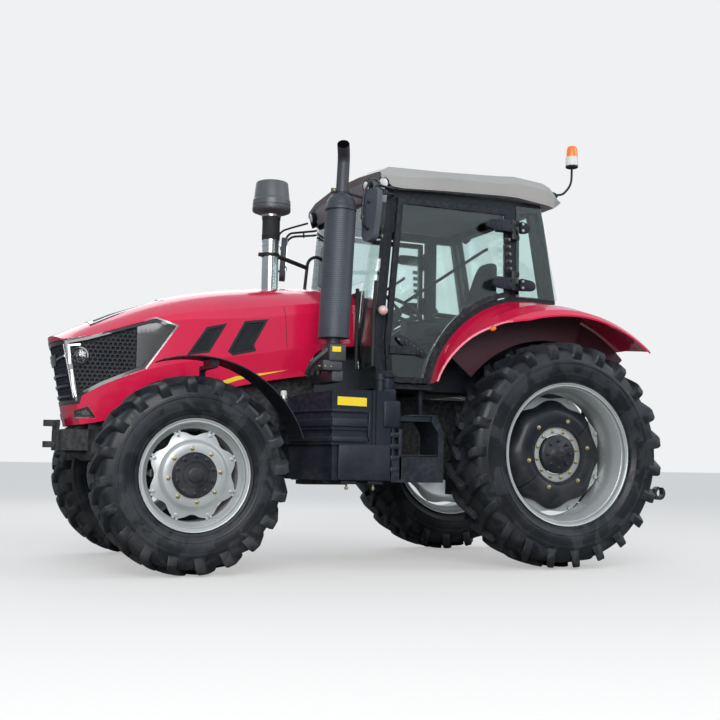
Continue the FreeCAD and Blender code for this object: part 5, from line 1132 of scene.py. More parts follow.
        add_turned(cleaner, ((0.012, 0.0), (0.012, 0.012), (0.008, 0.016)), INTAKE + Vector((0, 0, 3.156)), steps=16)
        for turn in (0.6, 2.4, 3.9, 5.5):
            out = Vector((math.cos(turn), math.sin(turn), 0.08))
            add_hexagon(ring, INTAKE + out * 0.139 + UP * 3.055, out, 0.008, 0.006)
        tidy(chrome, sleeve, cleaner, ring)
        finished("intake_chrome_tube", chrome, "Chrome", "chassis", ("intake_tube",))
        finished("intake_sleeve", sleeve, "Rubber Seal", "chassis")
        finished("precleaner_bowl", cleaner, "Precleaner Grey", "chassis", ("precleaner",))
        finished("precleaner_ring", ring, "Steel", "chassis")


# Roof, its lamps and the beacon

ROOF_SECTIONS = (
    # x; bow ahead at the middle; half width and height at the lower edge, the crease and the shoulder; crown
    (0.290, 0.085, 0.800, 2.948, 0.812, 2.962, 0.790, 2.990, 3.010),
    (0.205, 0.075, 0.838, 2.872, 0.850, 2.948, 0.780, 3.036, 3.062),
    (0.110, 0.050, 0.842, 2.866, 0.852, 2.950, 0.785, 3.038, 3.072),
    (-0.235, 0.000, 0.842, 2.884, 0.855, 2.982, 0.790, 3.046, 3.082),
    (-0.735, 0.000, 0.842, 2.902, 0.855, 2.993, 0.790, 3.072, 3.098),
    (-0.880, 0.000, 0.842, 2.902, 0.855, 3.013, 0.785, 3.085, 3.102),
    (-1.160, 0.000, 0.830, 2.872, 0.842, 2.990, 0.760, 3.068, 3.092),
    (-1.255, 0.000, 0.790, 2.866, 0.800, 2.952, 0.725, 3.046, 3.078),
    (-1.395, -0.030, 0.660, 2.946, 0.668, 2.956, 0.640, 2.968, 3.010),
)
LINING = 0.020


class TRACTOR_OT_roof(bpy.types.Operator):
    """Make the faceted roof shell, its lining, the work lamps and the beacon"""
    bl_idname = "tractor.roof"
    bl_label = "Roof and Beacon"

    def execute(self, context):
        shell, lining, lamps, rims, hatch = [bmesh.new() for _ in range(5)]
        rings, liners = [], []
        for ahead, bow, low_half, low, crease_half, crease, top_half, top, crown in ROOF_SECTIONS:
            line = [(low_half, low), (crease_half, crease), (top_half, top), (top_half * 0.62, crown - 0.006),
                    (0.0, crown)]
            line += [(-half, height) for half, height in reversed(line[:-1])]
            line += [(-low_half + LINING, low + LINING / 2), (low_half - LINING, low + LINING / 2)]
            rings.append([shell.verts.new((ahead + bow * (1 - (half / crease_half) ** 2), half, height))
                          for half, height in line])
            liners.append([lining.verts.new((ahead + bow * (1 - (half / crease_half) ** 2) - 0.012, half, height))
                           for half, height in ((low_half - LINING, low + 0.006), (0.4, low + 0.004),
                                                (0.0, low + 0.003), (-0.4, low + 0.004), (LINING - low_half, low + 0.006))])
        rings_to_faces(shell, rings)
        shell.faces.new(rings[0])
        shell.faces.new(list(reversed(rings[-1])))
        rings_to_faces(lining, liners, False)
        bmesh.ops.solidify(lining, geom=lining.faces[:], thickness=0.003)
        sharp = [edge for edge in shell.edges if len(edge.link_faces) == 2 and edge.calc_face_angle(0) > 0.2]
        bmesh.ops.bevel(shell, geom=sharp, offset=0.004, segments=1, profile=0.5, affect="EDGES",
                        clamp_overlap=True)
        for middle in (-0.08, -0.42):
            add_box(hatch, (middle - 0.13, -0.30, 3.070), (middle + 0.13, 0.30, 3.100), 0.010)
        for _, side in SIDES:
            for place, way in ((Vector((0.330, 0.615, 2.905)), Vector((1, 0.12, -0.25))),
                               (Vector((0.262, 0.790, 2.900)), Vector((1, 0.55, -0.25))),
                               (Vector((-1.180, 0.560, 2.850)), Vector((-1, 0.3, -0.4)))):
                spot = Vector((place.x, side * place.y, place.z))
                way = Vector((way.x, side * way.y, way.z)).normalized()
                add_turned(rims, ((0.016, -0.046), (0.034, -0.040), (0.047, -0.014), (0.050, 0.000), (0.050, 0.006),
                                  (0.045, 0.008), (0.044, 0.001)), spot, way, 32)
                add_turned(lamps, ((0.044, 0.001), (0.036, 0.008), (0.018, 0.012), (0.001, 0.013)), spot, way, 32)
                add_tube(rims, [spot - way * 0.040, spot - way * 0.045 + UP * 0.035, spot - way * 0.020 + UP * 0.060],
                         0.008, 0.02)
        tidy(shell, lining, lamps, rims, hatch)
        finished("roof_shell", shell, "Roof Plastic", "chassis", ("cab_roof",), 10)
        finished("roof_lining", lining, "Headliner", "chassis")
        finished("roof_hatches", hatch, "Roof Plastic", "chassis")
        finished("lamp_rims", rims, "Moulded Plastic", "chassis", ("work_lamps",))
        finished("lamp_glasses", lamps, "Lamp Face", "chassis")
        self.beacon()
        return {"FINISHED"}

    def beacon(self):
        """The amber lens on its white base, foot and bent stalk."""
        lens, base, stalk = bmesh.new(), bmesh.new(), bmesh.new()
        low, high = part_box("beacon")
        top = Vector((low.x + 0.056, (low.y + high.y) / 2, high.z))
        add_turned(lens, ((0.050, -0.095), (0.0495, -0.090), (0.0465, -0.030), (0.042, -0.012), (0.032, -0.003),
                          (0.018, 0.0), (0.001, 0.0)), top, steps=40)
        add_turned(lens, ((0.018, -0.095), (0.018, -0.035), (0.010, -0.025)), top, steps=20)
        add_turned(base, ((0.048, -0.172), (0.0535, -0.166), (0.0515, -0.100), (0.050, -0.095)), top, steps=40)
        add_turned(stalk, ((0.046, -0.186), (0.052, -0.182), (0.052, -0.172), (0.046, -0.168)), top, steps=40)
        foot = Vector((high.x - 0.03, top.y, low.z + 0.035))
        add_tube(stalk, [top - UP * 0.180, top + Vector((0.004, 0, -0.330)), foot + Vector((-0.085, 0, 0.010)), foot],
                 0.0095, 0.09)
        add_turned(stalk, ((0.030, -0.014), (0.034, -0.010), (0.034, 0.006), (0.026, 0.014), (0.012, 0.016)),
                   foot, Vector((-0.5, 0.3, 1)), 28)
        tidy(lens, base, stalk)
        finished("beacon_lens", lens, "Amber Lens", "chassis", ("beacon",))
        finished("beacon_base", base, "White Plastic", "chassis")
        finished("beacon_stalk", stalk, "Rubber Seal", "chassis")


# Mirrors

class TRACTOR_OT_mirrors(bpy.types.Operator):
    """Make both rear-view mirrors on their tube arms"""
    bl_idname = "tractor.mirrors"
    bl_label = "Mirrors"

    def execute(self, context):
        housings, arms, glasses = bmesh.new(), bmesh.new(), bmesh.new()
        for _, side in SIDES:
            spot = upright(side)
            outline = rounded_run(((-0.060, -0.200), (0.062, -0.200), (0.086, 0.040), (0.086, 0.160), (0.070, 0.195),
                                   (-0.072, 0.195), (-0.078, 0.040)),
                                  0.055, 5)
            middle = Vector((0.445, side * 1.000, 2.590))
            ahead = Vector((1, side * 0.35, 0.05)).normalized()
            across = Vector((-ahead.y, ahead.x, 0)).normalized() * side
            upwards = ahead.cross(across) * side
            upwards = upwards if upwards.z > 0 else -upwards

            def face(a, b, level, middle=middle, ahead=ahead, across=across, upwards=upwards):
                return middle + across * a + upwards * b + ahead * level

            add_block(housings, outline, face, -0.018, 0.034, 0.014, 3)
            inner = [(a * 0.88, b * 0.93) for a, b in outline]
            add_block(glasses, inner, face, -0.0205, -0.0175)
            for top, reach in ((2.830, 0.000), (2.790, -0.050)):
                add_tube(arms, [spot(0.190, top + 0.02, 0.780), spot(0.200, top + 0.015, 0.850),
                                spot(0.400, top, 0.985 + reach), spot(0.430, top - 0.04, 1.000),
                                spot(0.440, 2.560 - reach, 1.000)], 0.010, 0.05)
            add_tube(arms, [spot(0.300, 2.895, 0.800), spot(0.400, 2.875, 0.960), spot(0.470, 2.852, 1.030),
                            spot(0.523, 2.745, 1.035), spot(0.536, 2.620, 1.035), spot(0.528, 2.500, 1.030),
                            spot(0.465, 2.470, 1.010)], 0.009, 0.05)
            for height in (2.660, 2.560):
                add_turned(arms, ((0.009, -0.014), (0.015, -0.012), (0.015, 0.012), (0.009, 0.014)),
                           spot(0.534, height, 1.035), steps=16)
            add_tube(arms, [spot(0.300, 2.822, 0.900), spot(0.300, 2.782, 0.895)], 0.008, 0.01)
            for height in (2.500, 2.690):
                add_box(arms, *self.sorted_corners(spot(0.425, height - 0.016, 0.975), spot(0.480, height + 0.016, 1.025)),
                        0.004)
        tidy(housings, arms, glasses)
        finished("mirror_housings", housings, "Shield Grey", "chassis", ("mirrors",))
        finished("mirror_arms", arms, "Black Paint", "chassis")
        finished("mirror_glasses", glasses, "Mirror Glass", "chassis")
        return {"FINISHED"}

    def sorted_corners(self, first, second):
        """Two opposite corners put in order."""
        return (Vector(map(min, first, second)), Vector(map(max, first, second)))


# Cab side: door fittings, hinge covers, lamps, wheel well

HINGE_COVERS = ((2.657, -0.591), (2.199, -0.646))


class TRACTOR_OT_cab_side(bpy.types.Operator):
    """Make the door handles, grab bars, hinge covers, ladder strips, side lamps and wheel wells"""
    bl_idname = "tractor.cab_side"
    bl_label = "Cab Sides"

    def execute(self, context):
        for side_name, side in SIDES:
            self.door(side_name, side)
            self.pillar(side_name, side)
            self.wheel_well(side_name, side)
        return {"FINISHED"}

    def door(self, side_name, side):
        """Handle, inner grab bar, ladder strip and the front halves of the hinge covers."""
        spot = upright(side)
        dark, shiny = bmesh.new(), bmesh.new()
        handle = rounded_run(((0.150, 1.735), (0.125, 1.690), (-0.055, 1.585), (-0.115, 1.580), (-0.110, 1.622),
                              (0.085, 1.745)), 0.030, 4)

        def on_door(ahead, height, lift):
            return spot(ahead, height, 0.786 + lift)

        add_block(dark, handle, on_door, 0.0, 0.022, 0.008)
        inner = [(0.018 + a * 0.80, 0.333 + b * 0.80) for a, b in handle]
        add_block(shiny, inner, on_door, 0.020, 0.026, 0.003)
        for share in (0.15, 0.32, 0.49, 0.66, 0.83):
            middle = Vector((0.105, 1.712)).lerp(Vector((-0.085, 1.602)), share)
            bar = ((middle.x - 0.010, middle.y - 0.026), (middle.x + 0.002, middle.y - 0.026),
                   (middle.x + 0.010, middle.y + 0.026), (middle.x - 0.002, middle.y + 0.026))
            add_block(dark, bar, on_door, 0.024, 0.032, 0.002)
        add_tube(dark, [spot(0.064, 1.997, 0.780), spot(0.050, 2.006, 0.745), spot(-0.630, 2.464, 0.745),
                        spot(-0.644, 2.473, 0.780)], 0.012, 0.03)
        for step in range(5):
            height = 2.300 + 0.058 * step
            lean = 0.004 * step
            add_block(shiny, ((-0.828 + lean, height), (-0.780 + lean, height), (-0.780 + lean, height + 0.034),
                              (-0.828 + lean, height + 0.034)), on_door, 0.064, 0.069, 0.003)
        for middle, front in HINGE_COVERS:
            cover = rounded_run(((front, middle + 0.012), (front - 0.045, middle + 0.046), (-0.828, middle + 0.046),
                                 (-0.828, middle - 0.046), (front - 0.060, middle - 0.040), (front, middle - 0.022)),
                                0.018, 3)
            add_block(dark, cover, on_door, 0.064, 0.090, 0.010, 3)
            for shift in (0.045, 0.085, 0.125):
                ridge = ((front - shift, middle - 0.036), (front - shift - 0.012, middle - 0.036),
                         (front - shift - 0.012, middle + 0.040), (front - shift, middle + 0.040))
                add_block(dark, ridge, on_door, 0.086, 0.0925, 0.003)
            for shift in (-0.030, 0.030):
                add_hexagon(shiny, on_door(-0.812, middle + shift, 0.088), Vector((0, side, 0)), 0.010, 0.008)
        tidy(dark, shiny)
        finished(f"door_fittings_{side_name}", dark, "Moulded Plastic", f"door_{side_name}")
        finished(f"door_gloss_{side_name}", shiny, "Gloss Plastic", f"door_{side_name}")

    def pillar(self, side_name, side):
        """Rear halves of the hinge covers with their screws, and the round lamp on the front pillar."""
        spot = upright(side)
        dark, screws, lens = bmesh.new(), bmesh.new(), bmesh.new()
        for middle, front in HINGE_COVERS:
            back = front - 0.385
            cover = rounded_run(((-0.892, middle - 0.050), (-0.892, middle + 0.050), (back + 0.030, middle + 0.036),
                                 (back, middle + 0.010), (back, middle - 0.020), (back + 0.020, middle - 0.044)),
                                0.018, 3)
            add_block(dark, cover, lambda a, b, lift: spot(a, b, 0.846 + lift), 0.0, 0.030, 0.010, 3)
            for shift in (-0.026, 0.026):
                add_hexagon(screws, spot(-0.912, middle + shift, 0.875), Vector((0, side, 0)), 0.012, 0.009)
        place = spot(0.283, 1.914, 0.838)
        out = Vector((0, side, 0))
        add_turned(dark, ((0.024, 0.000), (0.036, 0.004), (0.039, 0.014), (0.039, 0.022), (0.036, 0.024)), place, out, 32)
        add_turned(lens, ((0.036, 0.022), (0.036, 0.030), (0.031, 0.044), (0.021, 0.054), (0.010, 0.058),
                          (0.001, 0.059)), place, out, 32)
        tidy(dark, screws, lens)
        finished(f"pillar_fittings_{side_name}", dark, "Moulded Plastic", "chassis")
        finished(f"pillar_screws_{side_name}", screws, "Steel", "chassis")
        finished(f"pillar_lamp_{side_name}", lens, "Pale Lens", "chassis")

    def wheel_well(self, side_name, side):
        """The red inner walls between the fender and the tyre, their red darkened as painted shade, and the marker on
        the fender.
        """
        wall = bmesh.new()
        for start, end, low, across in ((40, 106, 0.897, 0.856), (94, 136, 0.760, 0.690)):
            rings = []
            for step in range(33):
                angle = math.radians(start + (end - start) * step / 32)
                rings.append([wall.verts.new(REAR_AXLE + Vector((
                    radius * math.cos(angle), side * (across + lift), radius * math.sin(angle))))
                    for radius, lift in ((low, 0), (low, 0.012), (1.150, 0.012), (1.150, 0))])
            rings_to_faces(wall, rings)
            wall.faces.new(rings[0])
            wall.faces.new(list(reversed(rings[-1])))
        tidy(wall)
        # the walls' dark maroon is painted shade
        finished(f"wheel_well_{side_name}", wall, "Wheel Well Shaded Red", "chassis")
        marker = bmesh.new()
        add_turned(marker, ((0.024, -0.010), (0.024, 0.004), (0.018, 0.009), (0.001, 0.011)),
                   upright(side)(-0.500, 1.800, 1.135), Vector((0.62, side * 0.25, 0.75)), 24)
        tidy(marker)
        finished(f"fender_marker_{side_name}", marker, "Amber Lens", "chassis")


# Tank, step and small front fittings

TANK_CORNER = Vector((0.710, 0.950, 0))
TANK_SLANT = Vector((0.190, -0.450, 0)).normalized()
TANK_OUT = Vector((0.450, 0.190, 0)).normalized()


def on_tank(ahead, height, lift):
    """Places on the tank's flat outer face."""
    return Vector((ahead, 0.950 + lift, height))


def on_tank_slant(along, height, lift):
    """Places on the tank's slanted front face."""
    return TANK_CORNER + TANK_SLANT * along + TANK_OUT * lift + UP * height


class TRACTOR_OT_tank(bpy.types.Operator):
    """Make the ribs, filler, plate and lower cover of the tank, the treads, the battery box, the fuel filter and the
    hood seals
    """
    bl_idname = "tractor.tank"
    bl_label = "Tank and Step"

    def execute(self, context):
        moulded, plate, metal, tread = [bmesh.new() for _ in range(4)]
        for low, high in ((1.036, 1.098), (0.925, 0.966), (1.140, 1.162)):
            bar = rounded_run(((0.425, low), (0.712, low), (0.712, high), (0.445, high)), 0.012, 2)
            add_block(moulded, bar, on_tank, -0.004, 0.016, 0.009)
            bar = ((-0.004, low), (0.440, low - 0.004), (0.440, high - 0.012), (-0.004, high))
            add_block(moulded, bar, on_tank_slant, -0.004, 0.016, 0.009)
        add_block(moulded, ((0.432, 0.966), (0.425, 1.140), (0.410, 1.140), (0.416, 0.925)), on_tank, -0.004, 0.016, 0.006)
        add_block(moulded, rounded_run(((0.250, 0.652), (0.655, 0.652), (0.655, 0.908), (0.250, 0.908)), 0.02, 3),
                  on_tank, -0.004, 0.010, 0.006)
        for height in (0.965, 0.880, 0.795, 0.710):
            add_block(moulded, ((0.168, height), (0.246, height), (0.246, height + 0.040), (0.168, height + 0.040)),
                      on_tank, -0.060, 0.004, 0.010)
        add_box(moulded, (0.160, 0.700, 0.655), (0.250, 0.905, 1.035), 0.006)
        add_block(moulded, ((0.150, 0.655), (0.178, 0.655), (0.178, 1.030), (0.150, 1.030)), on_tank, -0.080, 0.000, 0.006)
        add_box(moulded, (0.165, 0.800, 1.030), (0.310, 0.962, 1.240), 0.022, 3)
        add_box(moulded, (0.190, 0.815, 1.200), (0.302, 0.945, 1.330), 0.030, 3)
        filler = Vector((0.247, 0.880, 0))
        add_turned(moulded, ((0.052, 1.320), (0.054, 1.330), (0.054, 1.398), (0.048, 1.402), (0.048, 1.408),
                             (0.060, 1.410), (0.062, 1.414), (0.062, 1.432), (0.056, 1.438), (0.001, 1.440)), filler)
        add_box(moulded, filler + Vector((-0.045, -0.009, 1.436)), filler + Vector((0.045, 0.009, 1.458)), 0.007)
        for k in range(12):
            turn = 2 * math.pi * k / 12
            ridge = filler + Vector((0.061 * math.cos(turn), 0.061 * math.sin(turn), 1.410))
            add_tube(moulded, [ridge, ridge + UP * 0.024], 0.005, 0.01, 6)
        add_block(plate, ((0.440, 1.186), (0.668, 1.190), (0.668, 1.252), (0.440, 1.248)), on_tank, -0.001, 0.0025)
        for depth in (0.740, 0.800, 0.860, 0.915):
            for height in (0.834, 1.129):
                if height > 1 and depth < 0.8:
                    continue
                add_block(tread, ((0.070, height), (0.070, height + 0.010), (-0.150, height + 0.010), (-0.150, height)),
                          lambda a, b, lift, depth=depth: Vector((a, depth + lift, b)), -0.006, 0.006, 0.003)
        for ahead in (0.350, 0.560):
            add_turned(metal, ((0.008, 0.580), (0.008, 0.652)), Vector((ahead, 0.880, 0)), steps=12)
            add_hexagon(metal, Vector((ahead, 0.880, 0.600)), -UP, 0.014, 0.014)
        add_box(moulded, (0.500, 0.560, 0.622), (0.620, 0.930, 0.652), 0.006)
        add_box(moulded, (0.290, 0.560, 0.622), (0.410, 0.930, 0.652), 0.006)
        tidy(moulded, plate, metal, tread)
        finished("tank_mouldings", moulded, "Moulded Plastic", "chassis")
        finished("tank_plate", plate, "Yellow Paint", "chassis")
        finished("tank_bolts", metal, "Plated Bolt", "chassis")
        finished("step_treads", tread, "Black Paint", "chassis")
        self.battery_box()
        self.fuel_filter()
        self.hood_seals()
        return {"FINISHED"}

    def battery_box(self):
        """Lid, latches and ribs of the battery box on the right side."""
        cover, metal = bmesh.new(), bmesh.new()
        add_box(cover, (0.238, -0.958, 1.185), (0.758, -0.240, 1.222), 0.014, 3)
        for ahead in (0.300, 0.420, 0.540, 0.660):
            add_box(cover, (ahead, -0.962, 0.700), (ahead + 0.060, -0.944, 1.130), 0.008)
        add_box(cover, (0.260, -0.964, 0.670), (0.735, -0.944, 0.700), 0.007)
        for ahead in (0.330, 0.660):
            add_box(metal, (ahead, -0.970, 1.140), (ahead + 0.035, -0.950, 1.215), 0.005)
            add_hexagon(metal, Vector((ahead + 0.017, -0.968, 1.160)), Vector((0, -1, 0)), 0.010, 0.008)
        tidy(cover, metal)
        finished("battery_cover", cover, "Moulded Plastic", "chassis")
        finished("battery_latches", metal, "Steel", "chassis")

    def fuel_filter(self):
        """The plated filter bowl and its pale cap, ahead of the tank."""
        bowl, cap = bmesh.new(), bmesh.new()
        place = Vector((0.915, 0.470, 0))
        add_turned(bowl, ((0.020, 1.165), (0.036, 1.170), (0.038, 1.178), (0.038, 1.198), (0.035, 1.201), (0.035, 1.207),
                          (0.038, 1.210), (0.038, 1.236), (0.035, 1.239), (0.035, 1.245), (0.042, 1.248),
                          (0.042, 1.268), (0.030, 1.272)), place, steps=40)
        add_box(bowl, (0.895, 0.250, 1.215), (0.935, 0.440, 1.240), 0.004)
        add_turned(cap, ((0.022, 1.270), (0.024, 1.274), (0.024, 1.300), (0.018, 1.308), (0.001, 1.309)), place, steps=24)
        tidy(bowl, cap)
        finished("filter_bowl", bowl, "Steel", "chassis")
        finished("filter_cap", cap, "White Plastic", "chassis")

    def hood_seals(self):
        """Rubber along the hood's rear edge and the windscreen's sides."""
        seal = bmesh.new()
        for _, side in SIDES:
            add_strip(seal, [(1.452, 1.515), (1.447, 1.690), (1.447, 1.925), (1.447, 2.000)], on_side(side),
                      0.022, 0.006, 0.006)
        tidy(seal)
        finished("hood_seal", seal, "Rubber Seal", "hood")
        edge = bmesh.new()
        for _, side in SIDES:
            add_tube(edge, [(0.322, side * 0.768, 1.500), (0.318, side * 0.768, 1.900), (0.300, side * 0.768, 2.150)],
                     0.016, 0.05)
            add_tube(edge, [(0.330, side * 0.462, 1.500), (0.326, side * 0.462, 1.980), (0.318, side * 0.440, 2.130)],
                     0.015, 0.05)
        tidy(edge)
        finished("windscreen_seal", edge, "Rubber Seal", "chassis")


# Seat

def add_cushion(mesh_data, outline, spot, thickness, seam=0.62, rings=26):
    """A stuffed pad: a crowned form whose sides pull in to a piped edge, with a sewn channel round its middle."""
    tops, undersides = [], []
    middle = Vector((sum(a for a, _ in outline), sum(b for _, b in outline))) / len(outline)
    for step in range(rings):
        share = 1 - (step / (rings - 0.5)) ** 1.4
        crown = (1 - share ** 3.2) ** 0.5 if step else 0.0
        dip = 0.09 * math.exp(-((share - seam) / 0.035) ** 2)
        piping = 0.10 if step == 1 else 0.0
        for loops, way, bulge in ((tops, 1, 0.56), (undersides, -1, 0.44)):
            level = way * thickness * (bulge * crown - (dip if way > 0 else 0) + piping)
            loops.append([mesh_data.verts.new(spot(*(middle + (Vector(point) - middle) * share), level))
                          for point in outline])
    for loops in (tops, undersides):
        rings_to_faces(mesh_data, loops)
        mesh_data.faces.new(loops[-1])
    for here, there in zip(tops[0], undersides[0]):
        there.co = here.co
    bmesh.ops.remove_doubles(mesh_data, verts=tops[0] + undersides[0], dist=0.0001)


class TRACTOR_OT_seat(bpy.types.Operator):
    """Make the driver's seat: padded cushion, backrest and armrests"""
    bl_idname = "tractor.seat"
    bl_label = "Driver's Seat"

    def execute(self, context):
        cushion, back, frame_part = bmesh.new(), bmesh.new(), bmesh.new()
        plan = rounded_run(((-1.080, -0.245), (-0.800, -0.250), (-0.545, -0.225), (-0.535, 0.225), (-0.800, 0.250),
                            (-1.080, 0.245)), 0.090, 6)
        add_cushion(cushion, plan, lambda a, b, level: Vector((a, b, 1.905 - 0.06 * (a + 0.55) + level)), 0.130)
        shape = rounded_run(((-0.240, 1.930), (0.240, 1.930), (0.225, 2.200), (0.130, 2.515), (-0.130, 2.515),
                             (-0.225, 2.200)), 0.080, 6)
        add_cushion(back, shape, lambda a, b, level: Vector((-0.960 - 0.20 * (b - 1.9) + level, a, b)), 0.125)
        add_box(frame_part, (-1.050, -0.200, 1.826), (-0.620, 0.200, 1.862), 0.008)
        add_box(frame_part, (-1.095, -0.170, 1.840), (-1.050, 0.170, 2.250), 0.015)
        for side in (-1, 1):
            add_tube(frame_part, [(-1.060, side * 0.262, 2.060), (-0.700, side * 0.262, 2.080)], 0.022, 0.02)
            add_tube(frame_part, [(-1.060, side * 0.262, 2.060), (-1.072, side * 0.170, 2.060)], 0.014, 0.02)
        tidy(cushion, back, frame_part)
        for name, mesh_data in (("seat_cushion", cushion), ("seat_back", back)):
            item = finished(name, mesh_data, "Cushion Fabric", "chassis",
                            ("seat",) if name == "seat_cushion" else (), 60)
        finished("seat_frame", frame_part, "Cab Trim", "chassis")
        return {"FINISHED"}


# Finishes of the CAD nodes

NODE_FINISH = {
    "rim_": "Rim Silver", "wheel_weight_": "Black Paint", "hub_": "Black Paint", "knuckle_": "Cast Grey",
    "mudguard_": "Moulded Plastic", "front_axle": "Cast Grey", "steering_rod": "Steel",
    "front_support": "Cast Grey", "engine_block": "Cast Grey", "radiator": "Black Paint",
    "gearbox_housing": "Cast Grey", "rear_axle_housing": "Cast Grey", "pto_shaft": "Steel",
    "lower_links": "Black Paint", "lift_": "Black Paint", "top_link": "Steel", "drawbar": "Black Paint",
    "hood_shell": "Red Paint", "hood_grilles": "Moulded Plastic", "headlamps": "Lamp Lens",
    "fender_rear_": "Red Paint", "cab_frame": "Black Paint", "door_frame_": "Black Paint",
    "door_glass_": "Cab Glass", "windscreen": "Cab Glass", "cab_windows": "Cab Glass",
    "cab_roof": "Roof Plastic", "work_lamps": "White Plastic", "beacon": "Amber Lens",
    "seat_base": "Cab Trim", "seat": "Cushion Fabric", "side_console": "Cab Trim", "dashboard": "Cab Trim",
    "steering_wheel": "Cab Trim", "fuel_tank": "Moulded Plastic", "battery_box": "Moulded Plastic",
    "steps": "Moulded Plastic", "exhaust": "Exhaust Black", "intake_tube": "Chrome",
    "precleaner": "Precleaner Grey", "mirrors": "Moulded Plastic", "tyre_": "Tyre Rubber",
    "drive_shaft": "Steel", "tail_lamps": "Amber Lens",
}


class TRACTOR_OT_finish_frame(bpy.types.Operator):
    """Make the finishes and give each CAD node its own"""
    bl_idname = "tractor.finish_frame"
    bl_label = "Frame Finishes"

    def execute(self, context):
        build_finishes()
        for name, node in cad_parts.items():
            keys = [key for key in NODE_FINISH if name == key or (key.endswith("_") and name.startswith(key))]
            if not keys:
                raise RuntimeError(f"{name} has no finish")
            for slot_index in range(max(1, len(node.material_slots))):
                if not node.material_slots:
                    node.data.materials.append(None)
                node.material_slots[slot_index].material = bpy.data.materials[NODE_FINISH[keys[0]]]
        return {"FINISHED"}


# Floor, light and camera

CAMERA_PLACE = Vector((3.5739, 8.3439, 0.7818))
CAMERA_YAW, CAMERA_PITCH, CAMERA_ROLL = 0.3942, 0.0923, 0.0177
CAMERA_LENS = 55.21


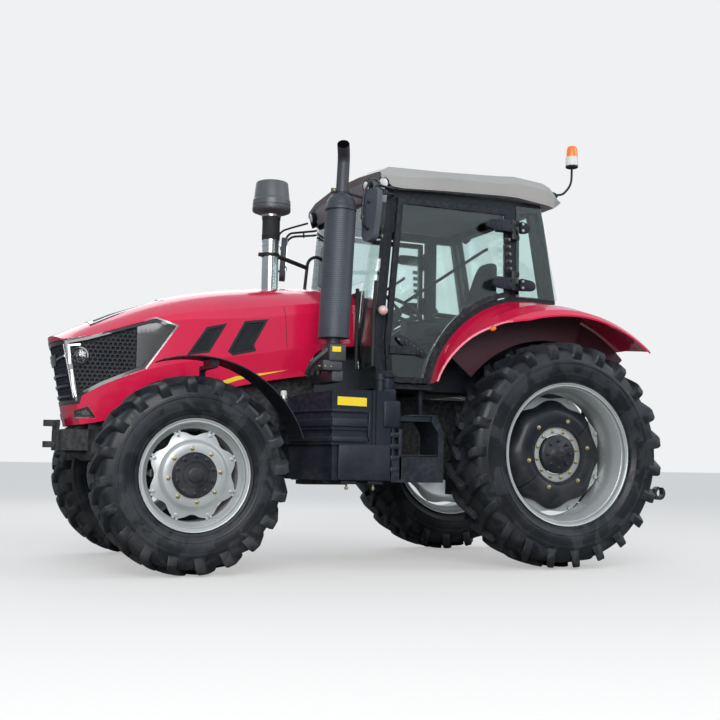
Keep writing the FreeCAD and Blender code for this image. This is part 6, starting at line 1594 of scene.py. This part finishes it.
class TRACTOR_OT_stage(bpy.types.Operator):
    """Make the floor, the soft light and the camera"""
    bl_idname = "tractor.stage"
    bl_label = "Stage"

    def execute(self, context):
        scene = context.scene
        scene.view_settings.view_transform = "Standard"
        mesh_data = bmesh.new()
        bmesh.ops.create_grid(mesh_data, x_segments=1, y_segments=1, size=150)
        mesh = bpy.data.meshes.new("studio_floor")
        mesh_data.to_mesh(mesh)
        mesh_data.free()
        floor = bpy.data.objects.new("studio_floor", mesh)
        scene.collection.objects.link(floor)
        ground = bpy.data.materials.new("Studio Floor")
        ground.use_nodes = True
        shader = ground.node_tree.nodes["Principled BSDF"]
        tree = ground.node_tree
        seen = add(tree, "ShaderNodeLightPath").outputs["Is Camera Ray"]
        shown = mixed_colour(tree, seen, (0.28, 0.28, 0.27, 1), (0.45, 0.44, 0.43, 1))
        shader.inputs["Emission Color"].default_value = (0.88, 0.87, 0.86, 1)
        tree.links.new(maths(tree, "MULTIPLY", seen, 0.46), shader.inputs["Emission Strength"])
        tree.links.new(shown, shader.inputs["Base Color"])
        shader.inputs["Roughness"].default_value = 0.85
        mesh.materials.append(ground)
        self.light_world(scene)
        for name, place, size, power in (
                ("key_light", (4.5, 11.0, 5.5), 8.0, 1180.0), ("fill_light", (-9.0, 6.0, 6.5), 7.0, 300.0),
                ("back_light", (0.0, -9.0, 8.0), 7.0, 240.0)):
            lamp = bpy.data.lights.new(name, "AREA")
            lamp.energy = power
            lamp.size = size
            item = bpy.data.objects.new(name, lamp)
            item.location = place
            item.rotation_euler = (Vector((0, 0, 1)) - Vector(place)).to_track_quat("-Z", "Y").to_euler()
            scene.collection.objects.link(item)
        self.place_camera(scene)
        return {"FINISHED"}

    def light_world(self, scene):
        """A grey sky that lights evenly and looks near white to the camera, metal and glass."""
        world = bpy.data.worlds.new("Studio Sky")
        world.use_nodes = True
        scene.world = world
        tree = world.node_tree
        sky = tree.nodes["Background"]
        path = add(tree, "ShaderNodeLightPath")
        seen = maths(tree, "MAXIMUM", path.outputs["Is Camera Ray"], path.outputs["Is Transmission Ray"])
        level = add(tree, "ShaderNodeSeparateXYZ", {0: add(tree, "ShaderNodeTexCoord").outputs["Generated"]})
        mirrored = ramp(tree, level.outputs["Z"], 0.02, 0.40, 0.20, 1.0)
        lighting = maths(tree, "ADD", 0.46, maths(tree, "MULTIPLY", path.outputs["Is Glossy Ray"], maths(
            tree, "SUBTRACT", mirrored, 0.46)))
        tint = mixed_colour(tree, seen, (0.80, 0.90, 1.0, 1), (0.87, 0.88, 0.89, 1))
        tree.links.new(tint, sky.inputs["Color"])
        power = maths(tree, "ADD", lighting, maths(tree, "MULTIPLY", seen, maths(tree, "SUBTRACT", 1.0, lighting)))
        tree.links.new(power, sky.inputs["Strength"])

    def place_camera(self, scene):
        """The camera at the photograph's view."""
        camera = bpy.data.cameras.new("photo_camera")
        camera.lens = CAMERA_LENS
        camera.clip_end = 400
        item = bpy.data.objects.new("photo_camera", camera)
        level = math.cos(CAMERA_PITCH)
        ahead = Vector((-math.sin(CAMERA_YAW) * level, -math.cos(CAMERA_YAW) * level, math.sin(CAMERA_PITCH)))
        right = ahead.cross(Vector((0, 0, 1))).normalized()
        up = right.cross(ahead)
        across = right * math.cos(CAMERA_ROLL) + up * math.sin(CAMERA_ROLL)
        upright = up * math.cos(CAMERA_ROLL) - right * math.sin(CAMERA_ROLL)
        turn = Matrix((across, upright, -ahead)).transposed()
        item.matrix_world = Matrix.Translation(CAMERA_PLACE) @ turn.to_4x4()
        scene.collection.objects.link(item)
        scene.camera = item


class TRACTOR_PT_build(bpy.types.Panel):
    """Buttons and settings in the sidebar."""
    bl_idname = "TRACTOR_PT_build"
    bl_label = "Farm Tractor"
    bl_space_type = "VIEW_3D"
    bl_region_type = "UI"
    bl_category = "Tractor"

    def draw(self, context):
        for operator in OPERATORS:
            self.layout.operator(operator.bl_idname)
        for group in (context.scene.tractor_colours, context.scene.tractor_sizes):
            for name in group.__annotations__:
                self.layout.prop(group, name)


OPERATORS = (
    TRACTOR_OT_finish_frame, TRACTOR_OT_tyres, TRACTOR_OT_rear_wheels, TRACTOR_OT_front_wheels,
    TRACTOR_OT_hood_trim, TRACTOR_OT_stacks, TRACTOR_OT_roof, TRACTOR_OT_mirrors, TRACTOR_OT_cab_side,
    TRACTOR_OT_tank, TRACTOR_OT_seat, TRACTOR_OT_stage)
CLASSES = (TractorColours, TractorSizes, *OPERATORS, TRACTOR_PT_build)


def register():
    """Add the classes and the scene's settings."""
    for item in CLASSES:
        bpy.utils.register_class(item)
    bpy.types.Scene.tractor_colours = PointerProperty(type=TractorColours)
    bpy.types.Scene.tractor_sizes = PointerProperty(type=TractorSizes)


def unregister():
    """Take them away again."""
    del bpy.types.Scene.tractor_sizes
    del bpy.types.Scene.tractor_colours
    for item in reversed(CLASSES):
        bpy.utils.unregister_class(item)


def main():
    """Build every piece in order."""
    register()
    bpy.ops.tractor.finish_frame()
    bpy.ops.tractor.tyres()
    bpy.ops.tractor.rear_wheels()
    bpy.ops.tractor.front_wheels()
    bpy.ops.tractor.hood_trim()
    bpy.ops.tractor.stacks()
    bpy.ops.tractor.roof()
    bpy.ops.tractor.mirrors()
    bpy.ops.tractor.cab_side()
    bpy.ops.tractor.tank()
    bpy.ops.tractor.seat()
    bpy.ops.tractor.stage()


if __name__ == "__main__":
    main()
